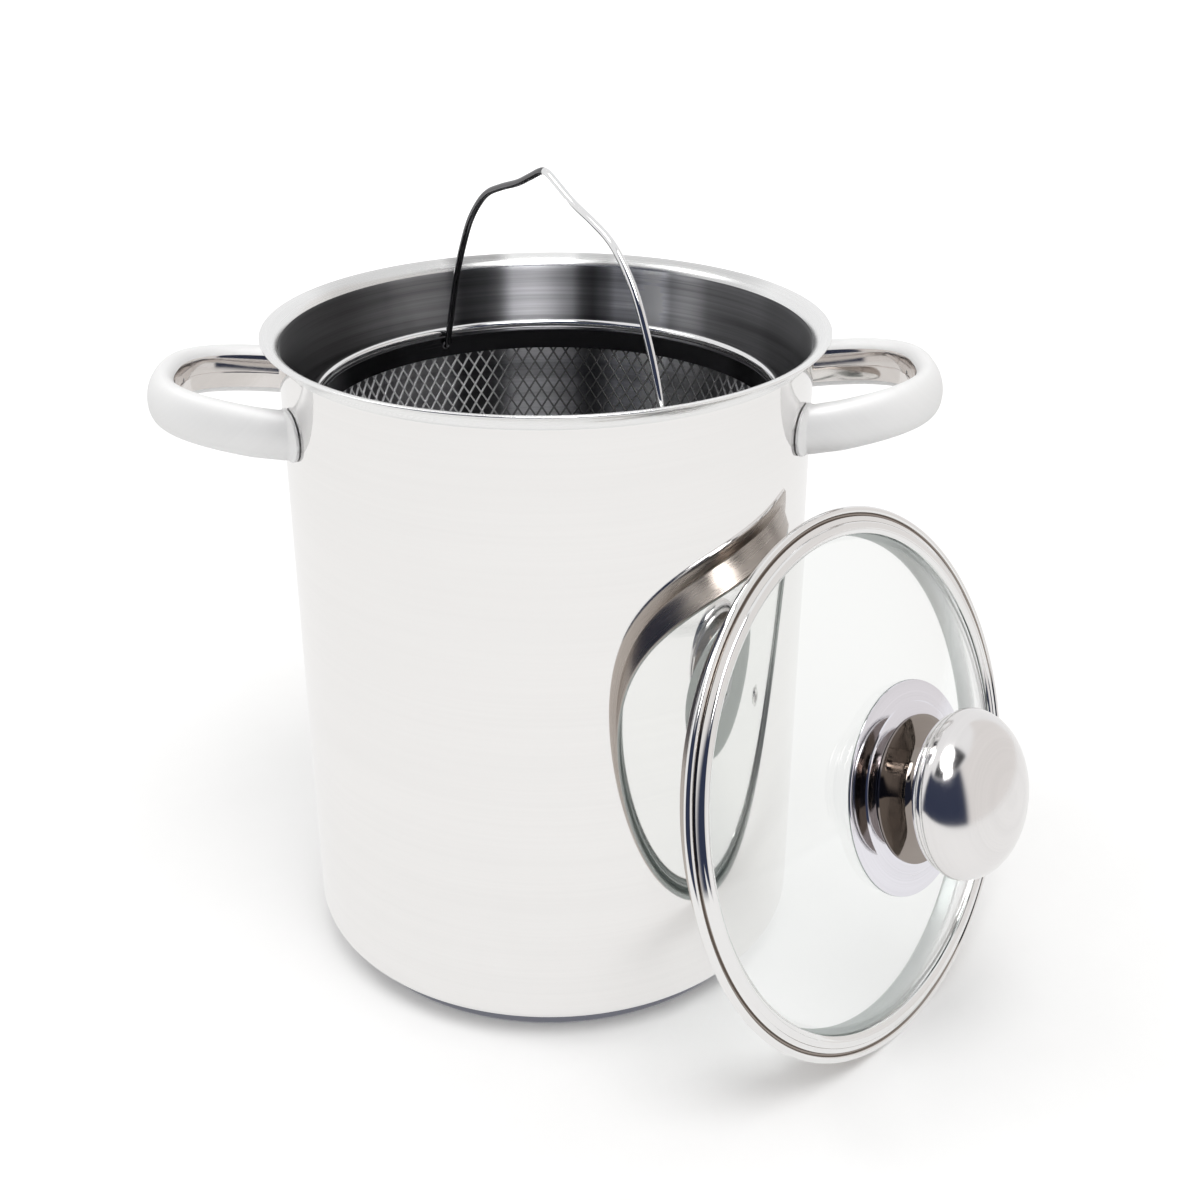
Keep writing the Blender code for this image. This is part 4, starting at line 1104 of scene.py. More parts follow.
@dataclass
class Basket(Assembly):
    """The lift-out basket: rolled rim, band, expanded-metal wall, floor and foot ring."""

    body = Body.BASKET
    rim_radius: float = 0.0712
    rim_height: float = 0.1867
    wire: float = 0.0016
    band_outer: float = 0.0707
    band_sheet: float = 0.0005
    band_low: float = 0.1782
    band_high: float = 0.1848
    wall_low: float = 0.0167
    wall_high: float = 0.1798
    wall_radius: float = 0.0713
    strand: float = 0.00055
    strands: int = 104
    strand_steps: int = 170
    cell_height: float = 0.0068
    lower_low: float = 0.0098
    lower_high: float = 0.0183
    foot_height: float = 0.0079
    hole_bearing: float = 119.3
    hole_height: float = 0.18216
    hole_radius: float = 0.0015
    drill: float = 0.004

    def hoop(self, low: float, high: float) -> list[Spot]:
        """Draw a band's section with slightly broken edges.

        Args:
            low: Its lower edge.
            high: Its upper edge.

        Returns:
            The section's points.
        """
        inner, outer = self.band_outer - self.band_sheet, self.band_outer
        edge = 0.25 * self.band_sheet
        return [(inner, low + edge), (inner + edge, low), (outer - edge, low),
                (outer, low + edge), (outer, high - edge), (outer - edge, high),
                (inner + edge, high), (inner, high - edge)]

    def strand_tree(self) -> bpy.types.NodeTree:
        """Two families of helical strands that cross into tall diamonds.

        Returns:
            The geometry tree, with named inputs for its sizes.
        """
        tree = bpy.data.node_groups.new("expanded_wall", 'GeometryNodeTree')
        face = tree.interface
        for label, kind in (("Strands", 'NodeSocketInt'), ("Radius", 'NodeSocketFloat'),
                            ("Height", 'NodeSocketFloat'), ("Turns", 'NodeSocketFloat'),
                            ("Strand Width", 'NodeSocketFloat')):
            face.new_socket(label, in_out='INPUT', socket_type=kind)
        face.new_socket("Geometry", in_out='OUTPUT', socket_type='NodeSocketGeometry')
        wire = Wiring(tree)
        size, sink = wire.add('NodeGroupInput').outputs, wire.add('NodeGroupOutput')
        points = wire.add('GeometryNodeMeshLine', {"Count": size["Strands"],
                                                   "Offset": (0, 0, 0)})
        step = wire.math('DIVIDE', math.tau, size["Strands"])
        turn = wire.math('MULTIPLY', wire.add('GeometryNodeInputIndex').outputs[0], step)
        spin = wire.add('ShaderNodeCombineXYZ', {"Z": turn})
        section = wire.add('GeometryNodeCurvePrimitiveQuadrilateral',
                           {"Width": size["Strand Width"], "Height": size["Strand Width"]})
        join = wire.add('GeometryNodeJoinGeometry')
        for reverse in (False, True):
            spiral = wire.add('GeometryNodeCurveSpiral',
                              {"Resolution": self.strand_steps, "Rotations": size["Turns"],
                               "Start Radius": size["Radius"], "End Radius": size["Radius"],
                               "Height": size["Height"], "Reverse": reverse})
            copies = wire.add('GeometryNodeInstanceOnPoints',
                              {"Points": points.outputs[0], "Instance": spiral.outputs[0],
                               "Rotation": spin.outputs[0]})
            real = wire.add('GeometryNodeRealizeInstances', {0: copies.outputs[0]})
            upright = wire.add('GeometryNodeSetCurveNormal', {0: real.outputs[0]}, mode='Z_UP')
            solid = wire.add('GeometryNodeCurveToMesh',
                             {0: upright.outputs[0], 1: section.outputs[0], "Fill Caps": True})
            wire.fill(join, {0: solid.outputs[0]})
        # The strands' material carries bands of painted shade
        last = wire.add('GeometryNodeSetMaterial', {0: join.outputs[0],
                                                    "Material": self.finishes.strand})
        wire.fill(sink, {0: last.outputs[0]})
        return tree

    def build_wall(self) -> None:
        """Run the strand tree and keep its result as a plain mesh."""
        height = self.wall_high - self.wall_low
        cell_width = math.tau * self.wall_radius / self.strands
        turns = 0.5 * cell_width * height / (0.5 * self.cell_height) / (
            math.tau * self.wall_radius)
        tree = self.strand_tree()
        carrier = put("wall_carrier", bpy.data.meshes.new("wall_carrier"))
        modifier = carrier.modifiers.new("strands", 'NODES')
        modifier.node_group = tree
        values = {"Strands": self.strands, "Radius": self.wall_radius, "Height": height,
                  "Turns": turns, "Strand Width": self.strand}
        for socket in tree.interface.items_tree:
            if socket.in_out == 'INPUT':
                modifier[socket.identifier] = values[socket.name]
        depsgraph = bpy.context.evaluated_depsgraph_get()
        mesh = bpy.data.meshes.new_from_object(carrier.evaluated_get(depsgraph))
        bpy.data.objects.remove(carrier, do_unlink=True)
        mesh.transform(Matrix.Translation((0, 0, self.wall_low)))
        mesh.name = "basket_wall_fine"
        self.settle(put("basket_wall_fine", mesh), Slot.SATIN, "basket_mesh")

    def build(self) -> None:
        """Make the basket."""
        ring = arc((self.rim_radius, self.rim_height), self.wire, 0, 360, 20)[:-1]
        self.add("basket_rim", turned(ring, FINE), Slot.WIRE, (self.finishes.wire,))
        band = turned(self.hoop(self.band_low, self.band_high), FINE)
        along = Vector(heading(self.hole_bearing))
        up = Vector((0, 0, self.hole_height))
        inner, outer = self.band_outer - self.drill, self.band_outer + self.drill
        drills = [rod(up + side * along * inner, up + side * along * outer, self.hole_radius, 24)
                  for side in (1, -1)]
        # Both bands take the near-black painted shade
        self.add("basket_band", carve(band, drills), Slot.SATIN, (self.finishes.band,))
        self.build_wall()
        lower = turned(self.hoop(self.lower_low, self.lower_high), FINE)
        self.add("basket_lower_band", lower, Slot.SATIN, (self.finishes.band,))
        foot = arc((self.band_outer - 0.5 * self.band_sheet, self.foot_height), self.wire, 0,
                   360, 16)[:-1]
        self.add("basket_foot_ring", turned(foot, FINE), Slot.WIRE, (self.finishes.wire,))


@dataclass
class Bail(Assembly):
    """The bent wire that lifts the basket."""

    body = Body.BAIL
    wire: float = 0.0011
    half_span: float = 0.0688
    height: float = 0.0706
    pivot: float = 0.18216
    bearing: float = 119.3
    foot: float = 0.0737
    shape: tuple[Spot, ...] = (
        (1.000, 0.018), (0.993, 0.060), (0.966, 0.128), (0.926, 0.243), (0.873, 0.380),
        (0.806, 0.516), (0.720, 0.655), (0.620, 0.757), (0.522, 0.822), (0.390, 0.869),
        (0.239, 0.913), (0.128, 0.957), (0.045, 0.991))
    steps: int = 8
    sides: int = 20

    @property
    def place(self) -> Matrix:
        """Turns the bail's plane to its bearing and lifts it to its pivot."""
        turn = Matrix.Rotation(math.radians(self.bearing), 4, 'Z')
        return Matrix.Translation((0, 0, self.pivot)) @ turn

    def line(self) -> list[Vector]:
        """Run a smooth curve through the bail's knots, with a bent foot at each end.

        Returns:
            Points of the centre line in the bail's plane, from foot to foot.
        """
        half = [Vector((self.half_span * across, self.height * up))
                for across, up in self.shape]
        knots = half + [Vector((0, self.height))]
        knots += [Vector((-point.x, point.y)) for point in reversed(half)]
        smooth = []
        for index in range(len(knots) - 1):
            before, start = knots[max(index - 1, 0)], knots[index]
            end, after = knots[index + 1], knots[min(index + 2, len(knots) - 1)]
            for step in range(self.steps):
                t = step / self.steps
                smooth.append(0.5 * (2 * start + (end - before) * t
                                     + (2 * before - 5 * start + 4 * end - after) * t ** 2
                                     + (3 * start - before - 3 * end + after) * t ** 3))
        smooth.append(knots[-1])
        bend = 1.5 * self.wire
        corner = arc((self.half_span + bend, bend), bend, 180, 270, 8)
        foot = [Vector((self.foot, 0))] + [Vector(spot) for spot in reversed(corner)]
        body = [point for point in smooth if point.y > 1.2 * bend]
        return foot + body + [Vector((-point.x, point.y)) for point in reversed(foot)]

    def build(self) -> None:
        """Make the bail."""
        points = self.line()
        last = len(points) - 1
        rings = []
        for index, point in enumerate(points):
            before, after = points[max(index - 1, 0)], points[min(index + 1, last)]
            along = (after - before).normalized()
            across = Vector((-along.y, along.x))
            ring = []
            for reach, depth in circle(self.wire, self.sides):
                spot = point + across * reach
                ring.append(Vector((spot.x, depth, spot.y)))
            rings.append(ring)

        def paint(centre: Vector) -> int:
            """0 is the bright half and 1 the half in painted shade."""
            return 1 if centre.x > 0 else 0

        self.add("basket_bail", rings_to_skin(rings), Slot.WIRE,
                 (self.finishes.bail, self.finishes.bail_dark), "bail_fine", paint=paint,
                 crease=60)


# The lid

@dataclass
class Lid(Assembly):
    """The domed glass in its steel rim, with a vent eyelet and a hollow steel knob.

    Heights are from the middle of the flange, along the lid's axis.
    """

    body = Body.LID
    pose: LidPose
    skirt_radius: float = 0.0786
    flange_width: float = 0.0055
    flange: float = 0.0024
    rise: float = 0.0026
    lip: float = 0.0015
    lip_sheet: float = 0.0007
    sheet: float = 0.0010
    depth: float = 0.0092
    taper: float = 0.0029
    hem: float = 0.0015
    ledge: float = 0.0008
    ledge_lap: float = 0.0008
    glass: float = 0.0040
    glass_rise: float = 0.0187
    glass_edge: float = 0.0012
    glass_hole: float = 0.0050
    glass_steps: int = 28
    vent_spacing: float = 0.0175
    vent_bearing: float = -22.0
    vent_hole: float = 0.0028
    vent_flange: float = 0.0042
    vent_sheet: float = 0.0005
    vent_bore: float = 0.0015
    disc_radius: float = 0.0323
    disc_sheet: float = 0.0008
    disc_step: float = 0.0260
    disc_drop: float = 0.0004
    gasket_radius: float = 0.0110
    gasket: float = 0.0010
    neck_foot: float = 0.0222
    neck_waist: float = 0.0130
    neck_height: float = 0.0125
    neck_edge: float = 0.0006
    neck_bore: float = 0.0043
    neck_steps: int = 16
    collar: float = 0.0233
    collar_height: float = 0.0028
    cap_radius: float = 0.0250
    cap_skirt: float = 0.0012
    cap_dome: float = 0.0142
    cap_sheet: float = 0.0010
    cap_steps: int = 24
    screw: float = 0.0020
    screw_head: float = 0.0042
    screw_height: float = 0.0022
    slot_width: float = 0.0010
    slot_depth: float = 0.0009
    washer_radius: float = 0.0095
    washer: float = 0.0010

    def __post_init__(self) -> None:
        """Work out the glass's sphere and the knob's levels."""
        self.channel = self.skirt_radius - self.sheet
        self.glass_radius = self.channel - GAP
        self.lip_radius = self.glass_radius - self.lip
        self.sphere = (self.lip_radius ** 2 + self.glass_rise ** 2) / (2 * self.glass_rise)
        self.sphere_height = self.glass_edge + self.glass_rise - self.sphere
        self.glass_lower = self.glass_radius * (1 - self.glass / self.sphere)
        self.ledge_radius = self.glass_lower - self.ledge_lap
        self.vent_distance = self.disc_radius + self.vent_spacing + self.vent_flange
        self.gasket_low = self.top(0) + GAP
        self.disc_low = self.gasket_low + self.gasket + GAP
        self.disc_high = self.disc_low + self.disc_sheet
        self.neck_low = self.disc_high + GAP
        self.neck_high = self.neck_low + self.neck_height
        self.washer_high = self.under(self.washer_radius) - GAP

    @property
    def place(self) -> Matrix:
        """From the lid's own frame to the pot's."""
        return self.pose.matrix()

    def top(self, radius: float) -> float:
        """Height of the glass's upper face."""
        return self.sphere_height + math.sqrt(self.sphere ** 2 - radius ** 2)

    def under(self, radius: float) -> float:
        """Height of the glass's lower face."""
        return self.sphere_height + math.sqrt((self.sphere - self.glass) ** 2 - radius ** 2)

    def disc_top(self, radius: float) -> float:
        """Work out the height of the disc's cone outside the gasket.

        Args:
            radius: Distance from the lid's axis.

        Returns:
            The height of its top.
        """
        edge = self.top(self.disc_radius) + GAP + self.disc_sheet
        share = (radius - self.gasket_radius) / (self.disc_radius - self.gasket_radius)
        return self.disc_high + (edge - self.disc_high) * share

    def rim_section(self) -> list[Spot]:
        """Draw the flange, crown, lip over the glass, channel, ledge and tapered skirt.

        Returns:
            The section's points.
        """
        half, hem = 0.5 * self.flange, 0.5 * self.hem
        lip_low = self.top(self.lip_radius) + GAP
        ledge_top = self.under(self.ledge_radius) - GAP
        ledge_low = ledge_top - self.ledge
        crown = self.lip_radius + self.lip
        edge = 0.45 * self.lip_sheet
        centre = (self.skirt_radius - self.taper - hem, hem - self.depth)
        drawn_in = self.taper * (half + ledge_low) / (half + centre[1])
        bend = 0.3 * self.ledge
        bead = 0.5 * self.rise
        points = arc((self.skirt_radius + self.flange_width - half, 0), half, -90, 130, 20)
        points += [(self.skirt_radius + out * self.flange_width, up * self.rise)
                   for out, up in ((0.57, 0.15), (0.49, 0.15), (0.43, 0.40), (0.28, 0.54))]
        points += arc((self.skirt_radius - 0.05 * self.flange_width, bead), bead, 20, 90, 8)
        points += [(crown + 0.10 * self.lip, self.rise),
                   (crown - 0.05 * self.lip, 0.93 * self.rise),
                   (crown - 0.20 * self.lip, lip_low + self.lip_sheet + edge),
                   (self.lip_radius + edge, lip_low + self.lip_sheet),
                   (self.lip_radius, lip_low + self.lip_sheet - edge),
                   (self.lip_radius, lip_low), (self.channel, self.top(self.glass_radius) + GAP),
                   (self.glass_lower + GAP, self.under(self.glass_lower) - GAP),
                   (self.ledge_radius + bend, ledge_top), (self.ledge_radius, ledge_top - bend),
                   (self.ledge_radius, ledge_low + bend), (self.ledge_radius + bend, ledge_low),
                   (self.skirt_radius - drawn_in - self.sheet, ledge_low)]
        points += arc(centre, hem, 150, 360, 12)
        points += [(self.skirt_radius, -half - 0.4 * hem), (self.skirt_radius + 0.3 * hem, -half)]
        return points

    def build_rim(self) -> None:
        """Make the rim: polished on top, with painted shade in the darker steel below, in the
        satin inside its skirt and in the groove.
        """
        half = 0.5 * self.flange
        groove = self.skirt_radius + 0.62 * self.flange_width

        def paint(centre: Vector) -> int:
            """Pick a face's finish.

            Args:
                centre: The face's centre.

            Returns:
                0 for the top, 1 for the skirt's inside, 2 for its outside and 3 for the
                groove, where 1, 2 and 3 are painted shade.
            """
            reach = math.hypot(centre.x, centre.y)
            share = max(-half - centre.z, 0) / (self.depth - half)
            middle = self.skirt_radius - 0.5 * self.sheet - self.taper * share
            if reach < middle:
                return 1 if centre.z < half else 0
            if centre.z < -0.5 * half:
                return 2
            # The groove takes the neck's dark colour: painted shade in the recess
            return 3 if reach < groove and centre.z < 0.39 * self.rise else 0

        looks = self.finishes
        self.add("lid_rim", turned(self.rim_section(), FINE), Slot.MIRROR,
                 (looks.lid_rim, looks.painted_shade_satin, looks.skirt, looks.neck), paint=paint)

    def build_glass(self) -> None:
        """Make the glass and its vent eyelet."""
        last = self.glass_steps

        def radii(edge: float, steps: range) -> list[float]:
            """Radii at these steps of the way from the middle hole to an edge."""
            return [self.glass_hole + (edge - self.glass_hole) * step / last for step in steps]

        profile = [(radius, self.top(radius))
                   for radius in radii(self.glass_radius, range(last + 1))]
        profile += [(radius, self.under(radius))
                    for radius in radii(self.glass_lower, range(last, -1, -1))]
        turn = math.radians(self.vent_bearing)
        spot = Vector((self.vent_distance * math.cos(turn), self.vent_distance * math.sin(turn),
                       self.top(self.vent_distance)))
        normal = (spot - Vector((0, 0, self.sphere_height))).normalized()
        drill = rod(spot - normal * 1.5 * self.glass, spot + normal * 0.5 * self.glass,
                    self.vent_hole, SMALL)
        self.add("lid_glass", carve(turned(profile, FINE), [drill]), Slot.GLASS,
                 (self.finishes.glass,))
        high, low = GAP + self.vent_sheet, -self.glass - GAP
        sleeve = self.vent_hole - GAP
        lower = 0.5 * (sleeve + self.vent_flange)
        bend = 0.6 * self.vent_sheet
        eyelet = [(self.vent_bore + bend, high - 0.2 * bend), (self.vent_bore + 2 * bend, high),
                  (self.vent_flange - 2 * bend, high),
                  (self.vent_flange - bend, high - 0.3 * bend),
                  (self.vent_flange, GAP), (sleeve, GAP), (sleeve, low), (lower, low),
                  (lower, low - 0.7 * self.vent_sheet), (lower - bend, low - self.vent_sheet),
                  (self.vent_bore + bend, low - self.vent_sheet), (self.vent_bore, low),
                  (self.vent_bore, high - 1.5 * bend)]
        tilt = math.asin(self.vent_distance / self.sphere)
        own = Matrix.Translation(spot) @ Matrix.Rotation(turn, 4, 'Z') @ Matrix.Rotation(
            tilt, 4, 'Y')
        self.add("vent_grommet", turned(eyelet, SMALL), Slot.MIRROR, (self.finishes.lid_rim,),
                 "vent_eyelet_fine", own)

    def neck_section(self) -> list[Spot]:
        """Draw the waisted neck and its collar.

        Returns:
            The section's points.
        """
        foot = self.disc_top(self.neck_foot) + GAP
        foot_top = foot + self.neck_edge
        collar_low = self.neck_high - self.collar_height
        waist = foot_top + (collar_low - foot_top) * 0.45
        turns = [math.radians(90 * step / self.neck_steps) for step in range(1, self.neck_steps)]
        points = [(self.neck_foot, foot), (self.neck_foot, foot_top)]
        points += [(self.neck_foot - (self.neck_foot - self.neck_waist) * math.sin(turn),
                    waist - (waist - foot_top) * math.cos(turn)) for turn in turns]
        points.append((self.neck_waist, waist))
        points += [(self.collar - (self.collar - self.neck_waist) * math.sin(turn),
                    waist + (collar_low - waist) * math.cos(turn)) for turn in reversed(turns)]
        bead = 0.12 * self.collar_height
        points += [(self.collar, collar_low), (self.collar + bead, collar_low + 2 * bead),
                   (self.collar + bead, self.neck_high - 2 * bead),
                   (self.collar, self.neck_high), (self.neck_bore, self.neck_high),
                   (self.neck_bore, self.neck_low), (self.gasket_radius, self.neck_low)]
        return points

    def build_knob(self) -> None:
        """Make the disc, neck, cap, gasket, washer and screw."""
        looks = self.finishes
        hole = self.screw + GAP
        step, drop = self.disc_step, self.disc_drop
        edge = 0.3 * self.disc_sheet
        shoulder, rim = self.gasket_radius + GAP, self.disc_top(self.disc_radius)
        disc = [(hole + GAP, self.disc_high), (shoulder, self.disc_high),
                (step - 1.5 * drop, self.disc_top(step - 1.5 * drop)),
                (step - 0.5 * drop, self.disc_top(step) - 0.3 * drop),
                (step + 0.2 * drop, self.disc_top(step) - drop),
                (self.disc_radius - 2 * edge, rim + 0.2 * drop),
                (self.disc_radius - 0.5 * edge, rim - 0.3 * edge),
                (self.disc_radius, rim - 1.5 * edge),
                (self.disc_radius, self.top(self.disc_radius) + GAP),
                (step, self.disc_top(step) - drop - self.disc_sheet),
                (shoulder, self.disc_low), (hole + GAP, self.disc_low)]
        collar_low = self.neck_high - self.collar_height

        def paint_disc(centre: Vector) -> int:
            """0 is the disc's top and 1 its underside, in the darker satin of painted shade."""
            reach = math.hypot(centre.x, centre.y)
            return 1 if centre.z < self.disc_top(reach) - 0.6 * self.disc_sheet else 0

        def paint_neck(centre: Vector) -> int:
            """0 is the waist, dark with painted shade, and 1 the collar."""
            return 1 if centre.z > collar_low else 0

        self.add("knob_escutcheon", turned(disc, FINE), Slot.MIRROR,
                 (looks.disc, looks.painted_shade_satin), "knob_disc_fine", paint=paint_disc)
        self.add("knob_neck", turned(self.neck_section(), FINE), Slot.MIRROR,
                 (looks.neck, looks.knob), paint=paint_neck)
        low = self.neck_high + GAP
        equator = low + self.cap_skirt
        bevel = 0.35 * self.cap_sheet
        cap = [(self.cap_radius - 1.5 * bevel, low),
               (self.cap_radius - 0.4 * bevel, low + 0.3 * bevel),
               (self.cap_radius, low + bevel)]
        last = self.cap_steps
        for sheet, order in ((0.0, range(last + 1)), (self.cap_sheet, range(last, -1, -1))):
            for index in order:
                angle = math.radians(90 * index / last)
                reach = (self.cap_radius - sheet) * math.cos(angle) if index < last else 0
                cap.append((reach, equator + (self.cap_dome - sheet) * math.sin(angle)))
        cap.append((self.cap_radius - self.cap_sheet, low))
        self.add("knob_cap", turned(cap, FINE), Slot.MIRROR, (looks.knob,), crease=50)
        gasket = [(hole, self.under(self.glass_hole)),
                  (self.glass_hole - GAP, self.under(self.glass_hole)),
                  (self.glass_hole - GAP, self.gasket_low), (self.gasket_radius, self.gasket_low),
                  (self.gasket_radius, self.gasket_low + self.gasket),
                  (hole, self.gasket_low + self.gasket)]
        self.add("knob_gasket", turned(gasket, MEDIUM), Slot.SILICONE, (looks.silicone,))
        high, low = self.washer_high, self.washer_high - self.washer
        soft = 0.25 * self.washer
        washer = [(hole, low), (self.washer_radius - soft, low),
                  (self.washer_radius, low + soft), (self.washer_radius, high),
                  (hole, high)]
        self.add("knob_washer", turned(washer, MEDIUM), Slot.SATIN, (looks.washer,))
        head_high = low - GAP
        flat = head_high - self.screw_height
        tip = self.neck_high - 2 * GAP
        dome = arc((0, head_high - 0.45 * self.screw_height), self.screw_head, -60, 0, 8)
        screw = [(0, flat)] + [(reach, max(height, flat)) for reach, height in dome]
        screw += [(self.screw_head, head_high), (self.screw, head_high),
                  (self.screw, tip - 0.5 * self.screw), (0.5 * self.screw, tip), (0, tip)]
        bm = turned(screw, SMALL, closed=False)
        half, reach = 0.5 * self.slot_width, 0.48 * self.screw_head
        outline = []
        for turn in range(4):
            spin = Matrix.Rotation(math.radians(90 * turn), 2)
            outline += [spin @ Vector(corner)
                        for corner in ((reach, -half), (reach, half), (half, half))]
        tool = rings_to_skin([[Vector((*spot, level)) for spot in outline]
                              for level in (flat - self.screw_height,
                                            flat + self.slot_depth)])
        self.add("knob_screw", carve(bm, [tool]), Slot.SATIN, (looks.washer,))

    def build(self) -> None:
        """Make the lid."""
        self.build_rim()
        self.build_glass()
        self.build_knob()


# The studio

@dataclass(frozen=True)
class Zone:
    """A part of the room that only reflections show.

    Args:
        bearing: The way to its middle, in degrees from +X, seen from above.
        half_width: How far it spreads to each side, in degrees.
        low: The elevation of its lower edge, in degrees.
        high: The elevation of its upper edge, in degrees.
        soft: Half the width of its blurred edges, in degrees.
        colour: Its colour.
    """

    bearing: float
    half_width: float
    low: float
    high: float
    soft: float
    colour: Colour

    def mask(self, wire: Wiring, flat: Socket, height: Socket) -> Socket:
        """Where the zone lies.

        Args:
            wire: The world's wiring.
            flat: The level part of the direction, one long.
            height: The sine of the direction's elevation.

        Returns:
            A socket that is 1 in the zone and 0 outside it.
        """
        dot = wire.vector('DOT_PRODUCT', flat, heading(self.bearing))["Value"]
        product = None
        for value, wave, start, end in (
                (dot, math.cos, self.half_width + self.soft, self.half_width - self.soft),
                (height, math.sin, self.low - self.soft, self.low + self.soft),
                (height, math.sin, self.high + self.soft, self.high - self.soft)):
            ramp = wire.ramp(value, wave(math.radians(start)), wave(math.radians(end)),
                             smooth=True)
            product = wire.math('MULTIPLY', product, ramp) if product else ramp
        return product


@dataclass(frozen=True)
class Lamp:
    """A round soft lamp.

    Args:
        name: Its name.
        place: Where it hangs.
        size: Its diameter.
        power: Its power in watts.
    """

    name: str
    place: Place
    size: float
    power: float

    def build(self, target: Place) -> None:
        """Hang the lamp.

        Args:
            target: The place that it looks at.
        """
        data = bpy.data.lights.new(self.name, 'AREA')
        data.shape = 'DISK'
        data.size = self.size
        data.energy = self.power
        item = put(self.name, data)
        item.location = self.place
        aim = Vector(target) - Vector(self.place)
        item.rotation_euler = aim.to_track_quat('-Z', 'Y').to_euler()


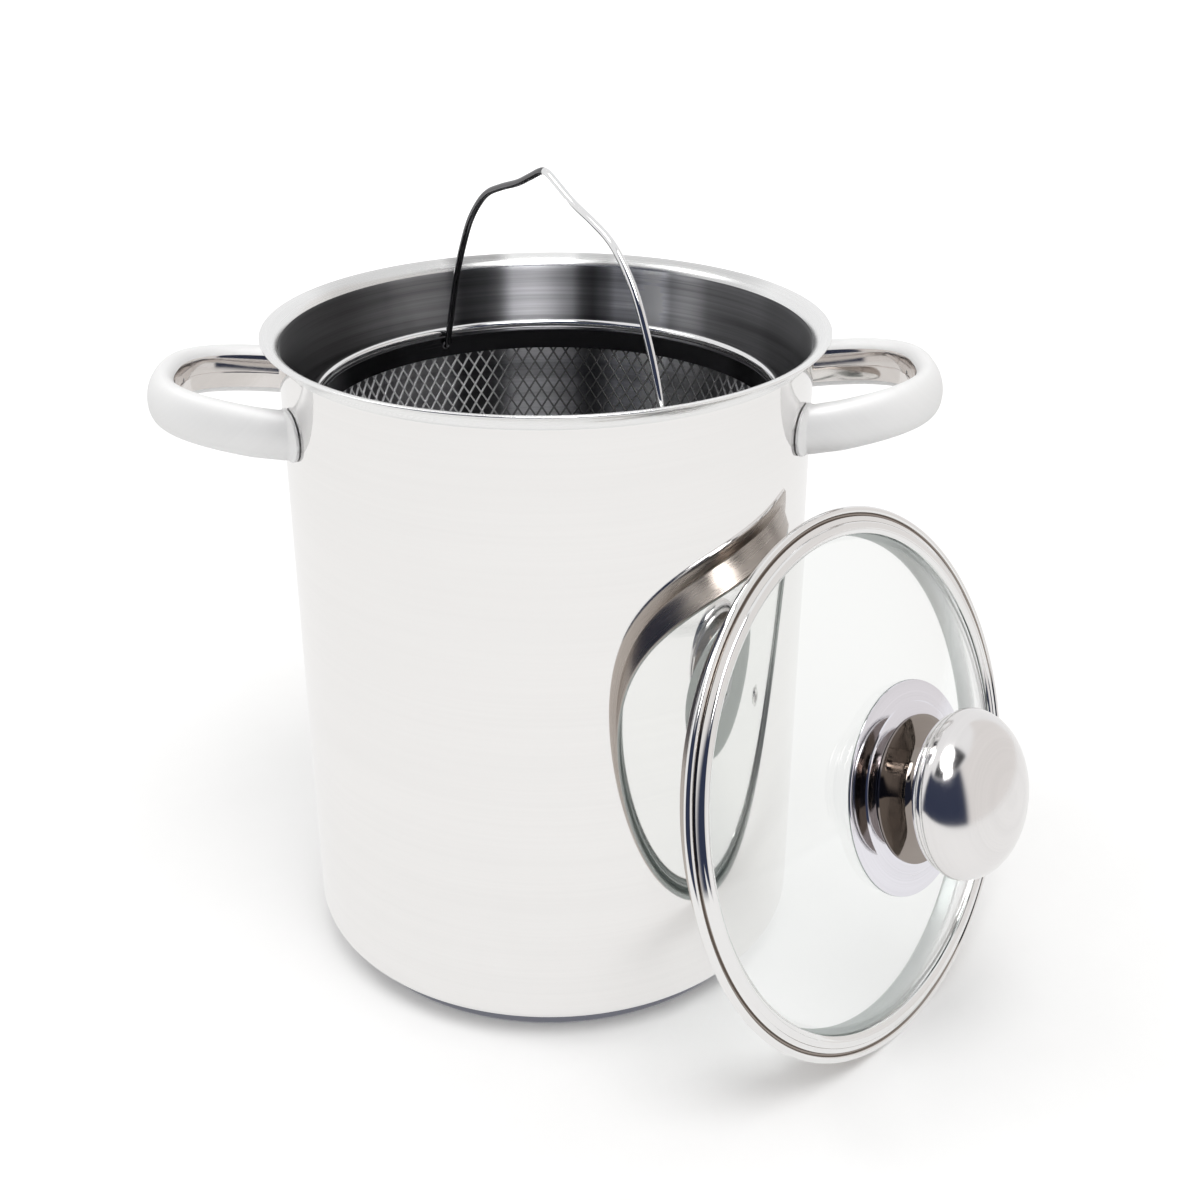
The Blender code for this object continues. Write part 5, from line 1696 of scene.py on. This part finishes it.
@dataclass
class Studio:
    """Pale floor, white room, soft lamps and the camera."""

    floor_radius: float = 5.0
    floor_depth: float = 0.02
    floor_tones: Span = (0.89, 0.91)
    floor_grain: float = 60.0
    glow_reach: Span = (0.15, 1.20)
    glow_strength: Span = (0.05, 0.52)
    mirrored_colour: Colour = (0.985, 0.98, 0.975)
    mirrored_level: float = 0.96
    mirrored_share: float = 0.7
    mirrored_reach: Span = (0.60, 0.85)
    room_colour: Colour = (1.0, 0.995, 0.985)
    room_level: float = 0.80
    lens: float = 49.71
    camera_place: Place = (0.0, -0.4881, 0.3502)
    pitch: float = 0.4503
    yaw: float = 0.0330
    lamp_target: Place = (0.03, -0.02, 0.1)
    lamps: tuple[Lamp, ...] = (
        Lamp("front_box", (0.14, -0.55, 1.40), 0.80, 7.0),
        Lamp("side_box", (-0.81, 0.10, 1.26), 0.45, 2.0),
    )
    walls: Colour = (0.94, 0.94, 0.945)
    zones: tuple[Zone, ...] = (
        Zone(-5.0, 50.0, -70.0, 44.0, 4.0, (0.84, 0.815, 0.80)),
        Zone(-101.0, 57.0, -70.0, 45.0, 5.0, (0.032, 0.040, 0.075)),
        Zone(-44.0, 22.0, 46.0, 84.0, 3.0, (0.03, 0.03, 0.035)),
        Zone(-114.0, 24.0, 46.0, 84.0, 3.0, (0.03, 0.03, 0.035)),
        Zone(-79.0, 13.0, 46.0, 84.0, 2.0, (7.0, 6.9, 6.9)),
    )

    def build_camera(self) -> None:
        """Put the camera where the photograph was taken from."""
        data = bpy.data.cameras.new("camera")
        data.lens = self.lens
        data.sensor_width = 36.0
        data.clip_start = 0.01
        item = put("camera", data)
        item.location = self.camera_place
        item.rotation_euler = (0.5 * math.pi - self.pitch, 0, -self.yaw)
        bpy.context.scene.camera = item

    def build_room(self) -> None:
        """White to the camera and through glass, with toned walls in reflections."""
        world = bpy.data.worlds.new("room")
        world.use_nodes = True
        bpy.context.scene.world = world
        wire, nodes = Wiring(world.node_tree), world.node_tree.nodes
        path = wire.add('ShaderNodeLightPath').outputs
        level = nodes["Background"]
        wire.fill(level, {"Color": (*self.room_colour, 1), "Strength": self.room_level})
        white = wire.add('ShaderNodeBackground', {"Color": (1, 1, 1, 1), "Strength": 1.0})
        towards = wire.add('ShaderNodeTexCoord').outputs["Generated"]
        height = wire.add('ShaderNodeSeparateXYZ', {0: towards}).outputs[2]
        flat, colour = wire.level(towards), self.walls
        for zone in self.zones:
            colour = wire.mix(zone.mask(wire, flat, height), colour, zone.colour)
        mirrored = wire.add('ShaderNodeBackground', {"Color": colour, "Strength": 1.0})
        seen = wire.math('MAXIMUM', path["Is Camera Ray"], path["Is Transmission Ray"])
        room = wire.blend(seen, level.outputs[0], white.outputs[0])
        wire.fill(nodes["World Output"],
                  {"Surface": wire.blend(path["Is Glossy Ray"], room, mirrored.outputs[0])})

    def build_floor(self) -> None:
        """A pale floor that keeps the object's shadow and shows white in reflections."""
        material, wire, shader = new_material("floor_pale")
        spot = wire.add('ShaderNodeTexCoord').outputs["Object"]
        grain = wire.add('ShaderNodeTexNoise', {"Vector": spot, "Scale": self.floor_grain})
        tone = wire.ramp(grain.outputs["Fac"], 0.0, 1.0, *self.floor_tones)
        path = wire.add('ShaderNodeLightPath').outputs
        seen = wire.math('MAXIMUM', path["Is Camera Ray"], path["Is Transmission Ray"])
        away = wire.vector('LENGTH', spot)["Value"]
        glow = wire.math('MULTIPLY', seen,
                         wire.ramp(away, *self.glow_reach, *self.glow_strength))
        wire.fill(shader, {"Base Color": tone, "Roughness": 0.6, "Specular IOR Level": 0.1,
                           "Emission Color": (1, 1, 1, 1), "Emission Strength": glow})
        mirrored = wire.add('ShaderNodeEmission', {"Color": (*self.mirrored_colour, 1),
                                                   "Strength": self.mirrored_level})
        share = wire.math('MULTIPLY', path["Is Glossy Ray"], self.mirrored_share)
        near = wire.blend(share, shader.outputs[0], mirrored.outputs[0])
        far = wire.ramp(away, *self.mirrored_reach)
        clear = wire.add('ShaderNodeBsdfTransparent')
        wire.fill(material.node_tree.nodes["Material Output"],
                  {"Surface": wire.blend(wire.math('MULTIPLY', far, path["Is Glossy Ray"]), near,
                                         clear.outputs[0])})
        disc = turned([(0, -self.floor_depth), (self.floor_radius, -self.floor_depth),
                       (self.floor_radius, 0), (0, 0)], FINE, closed=False)
        bmesh.ops.recalc_face_normals(disc, faces=disc.faces)
        mesh = to_mesh("floor", disc)
        mesh.materials.append(material)
        put("floor", mesh)

    def build(self) -> None:
        """Make the whole studio."""
        self.build_camera()
        self.build_room()
        self.build_floor()
        for lamp in self.lamps:
            lamp.build(self.lamp_target)
        bpy.context.scene.view_settings.view_transform = 'Standard'


def dress_nodes(finishes: Finishes) -> None:
    """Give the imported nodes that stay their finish.

    Args:
        finishes: The object's materials.
    """
    for node, material in (("base_core", finishes.aluminium), ("knob_insert", finishes.washer),
                           ("basket_floor", finishes.floor)):
        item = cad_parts[node]
        item.data.materials.clear()
        item.data.materials.append(material)


def main() -> None:
    """Build every piece, dress it and light it."""
    logging.basicConfig(level=logging.INFO, format="%(message)s")
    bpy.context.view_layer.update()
    groups = Groups()
    pose = LidPose()
    finishes = Finishes(groups, pose)
    log.info("finishes: ready")
    for assembly in (Pot(finishes), LoopHandle(finishes, 1, "right_handle"),
                     LoopHandle(finishes, -1, "left_handle"), Basket(finishes),
                     Bail(finishes), Lid(finishes, pose)):
        assembly.build()
    dress_nodes(finishes)
    Studio().build()
    log.info("studio: ready")


if __name__ == "__main__":
    main()
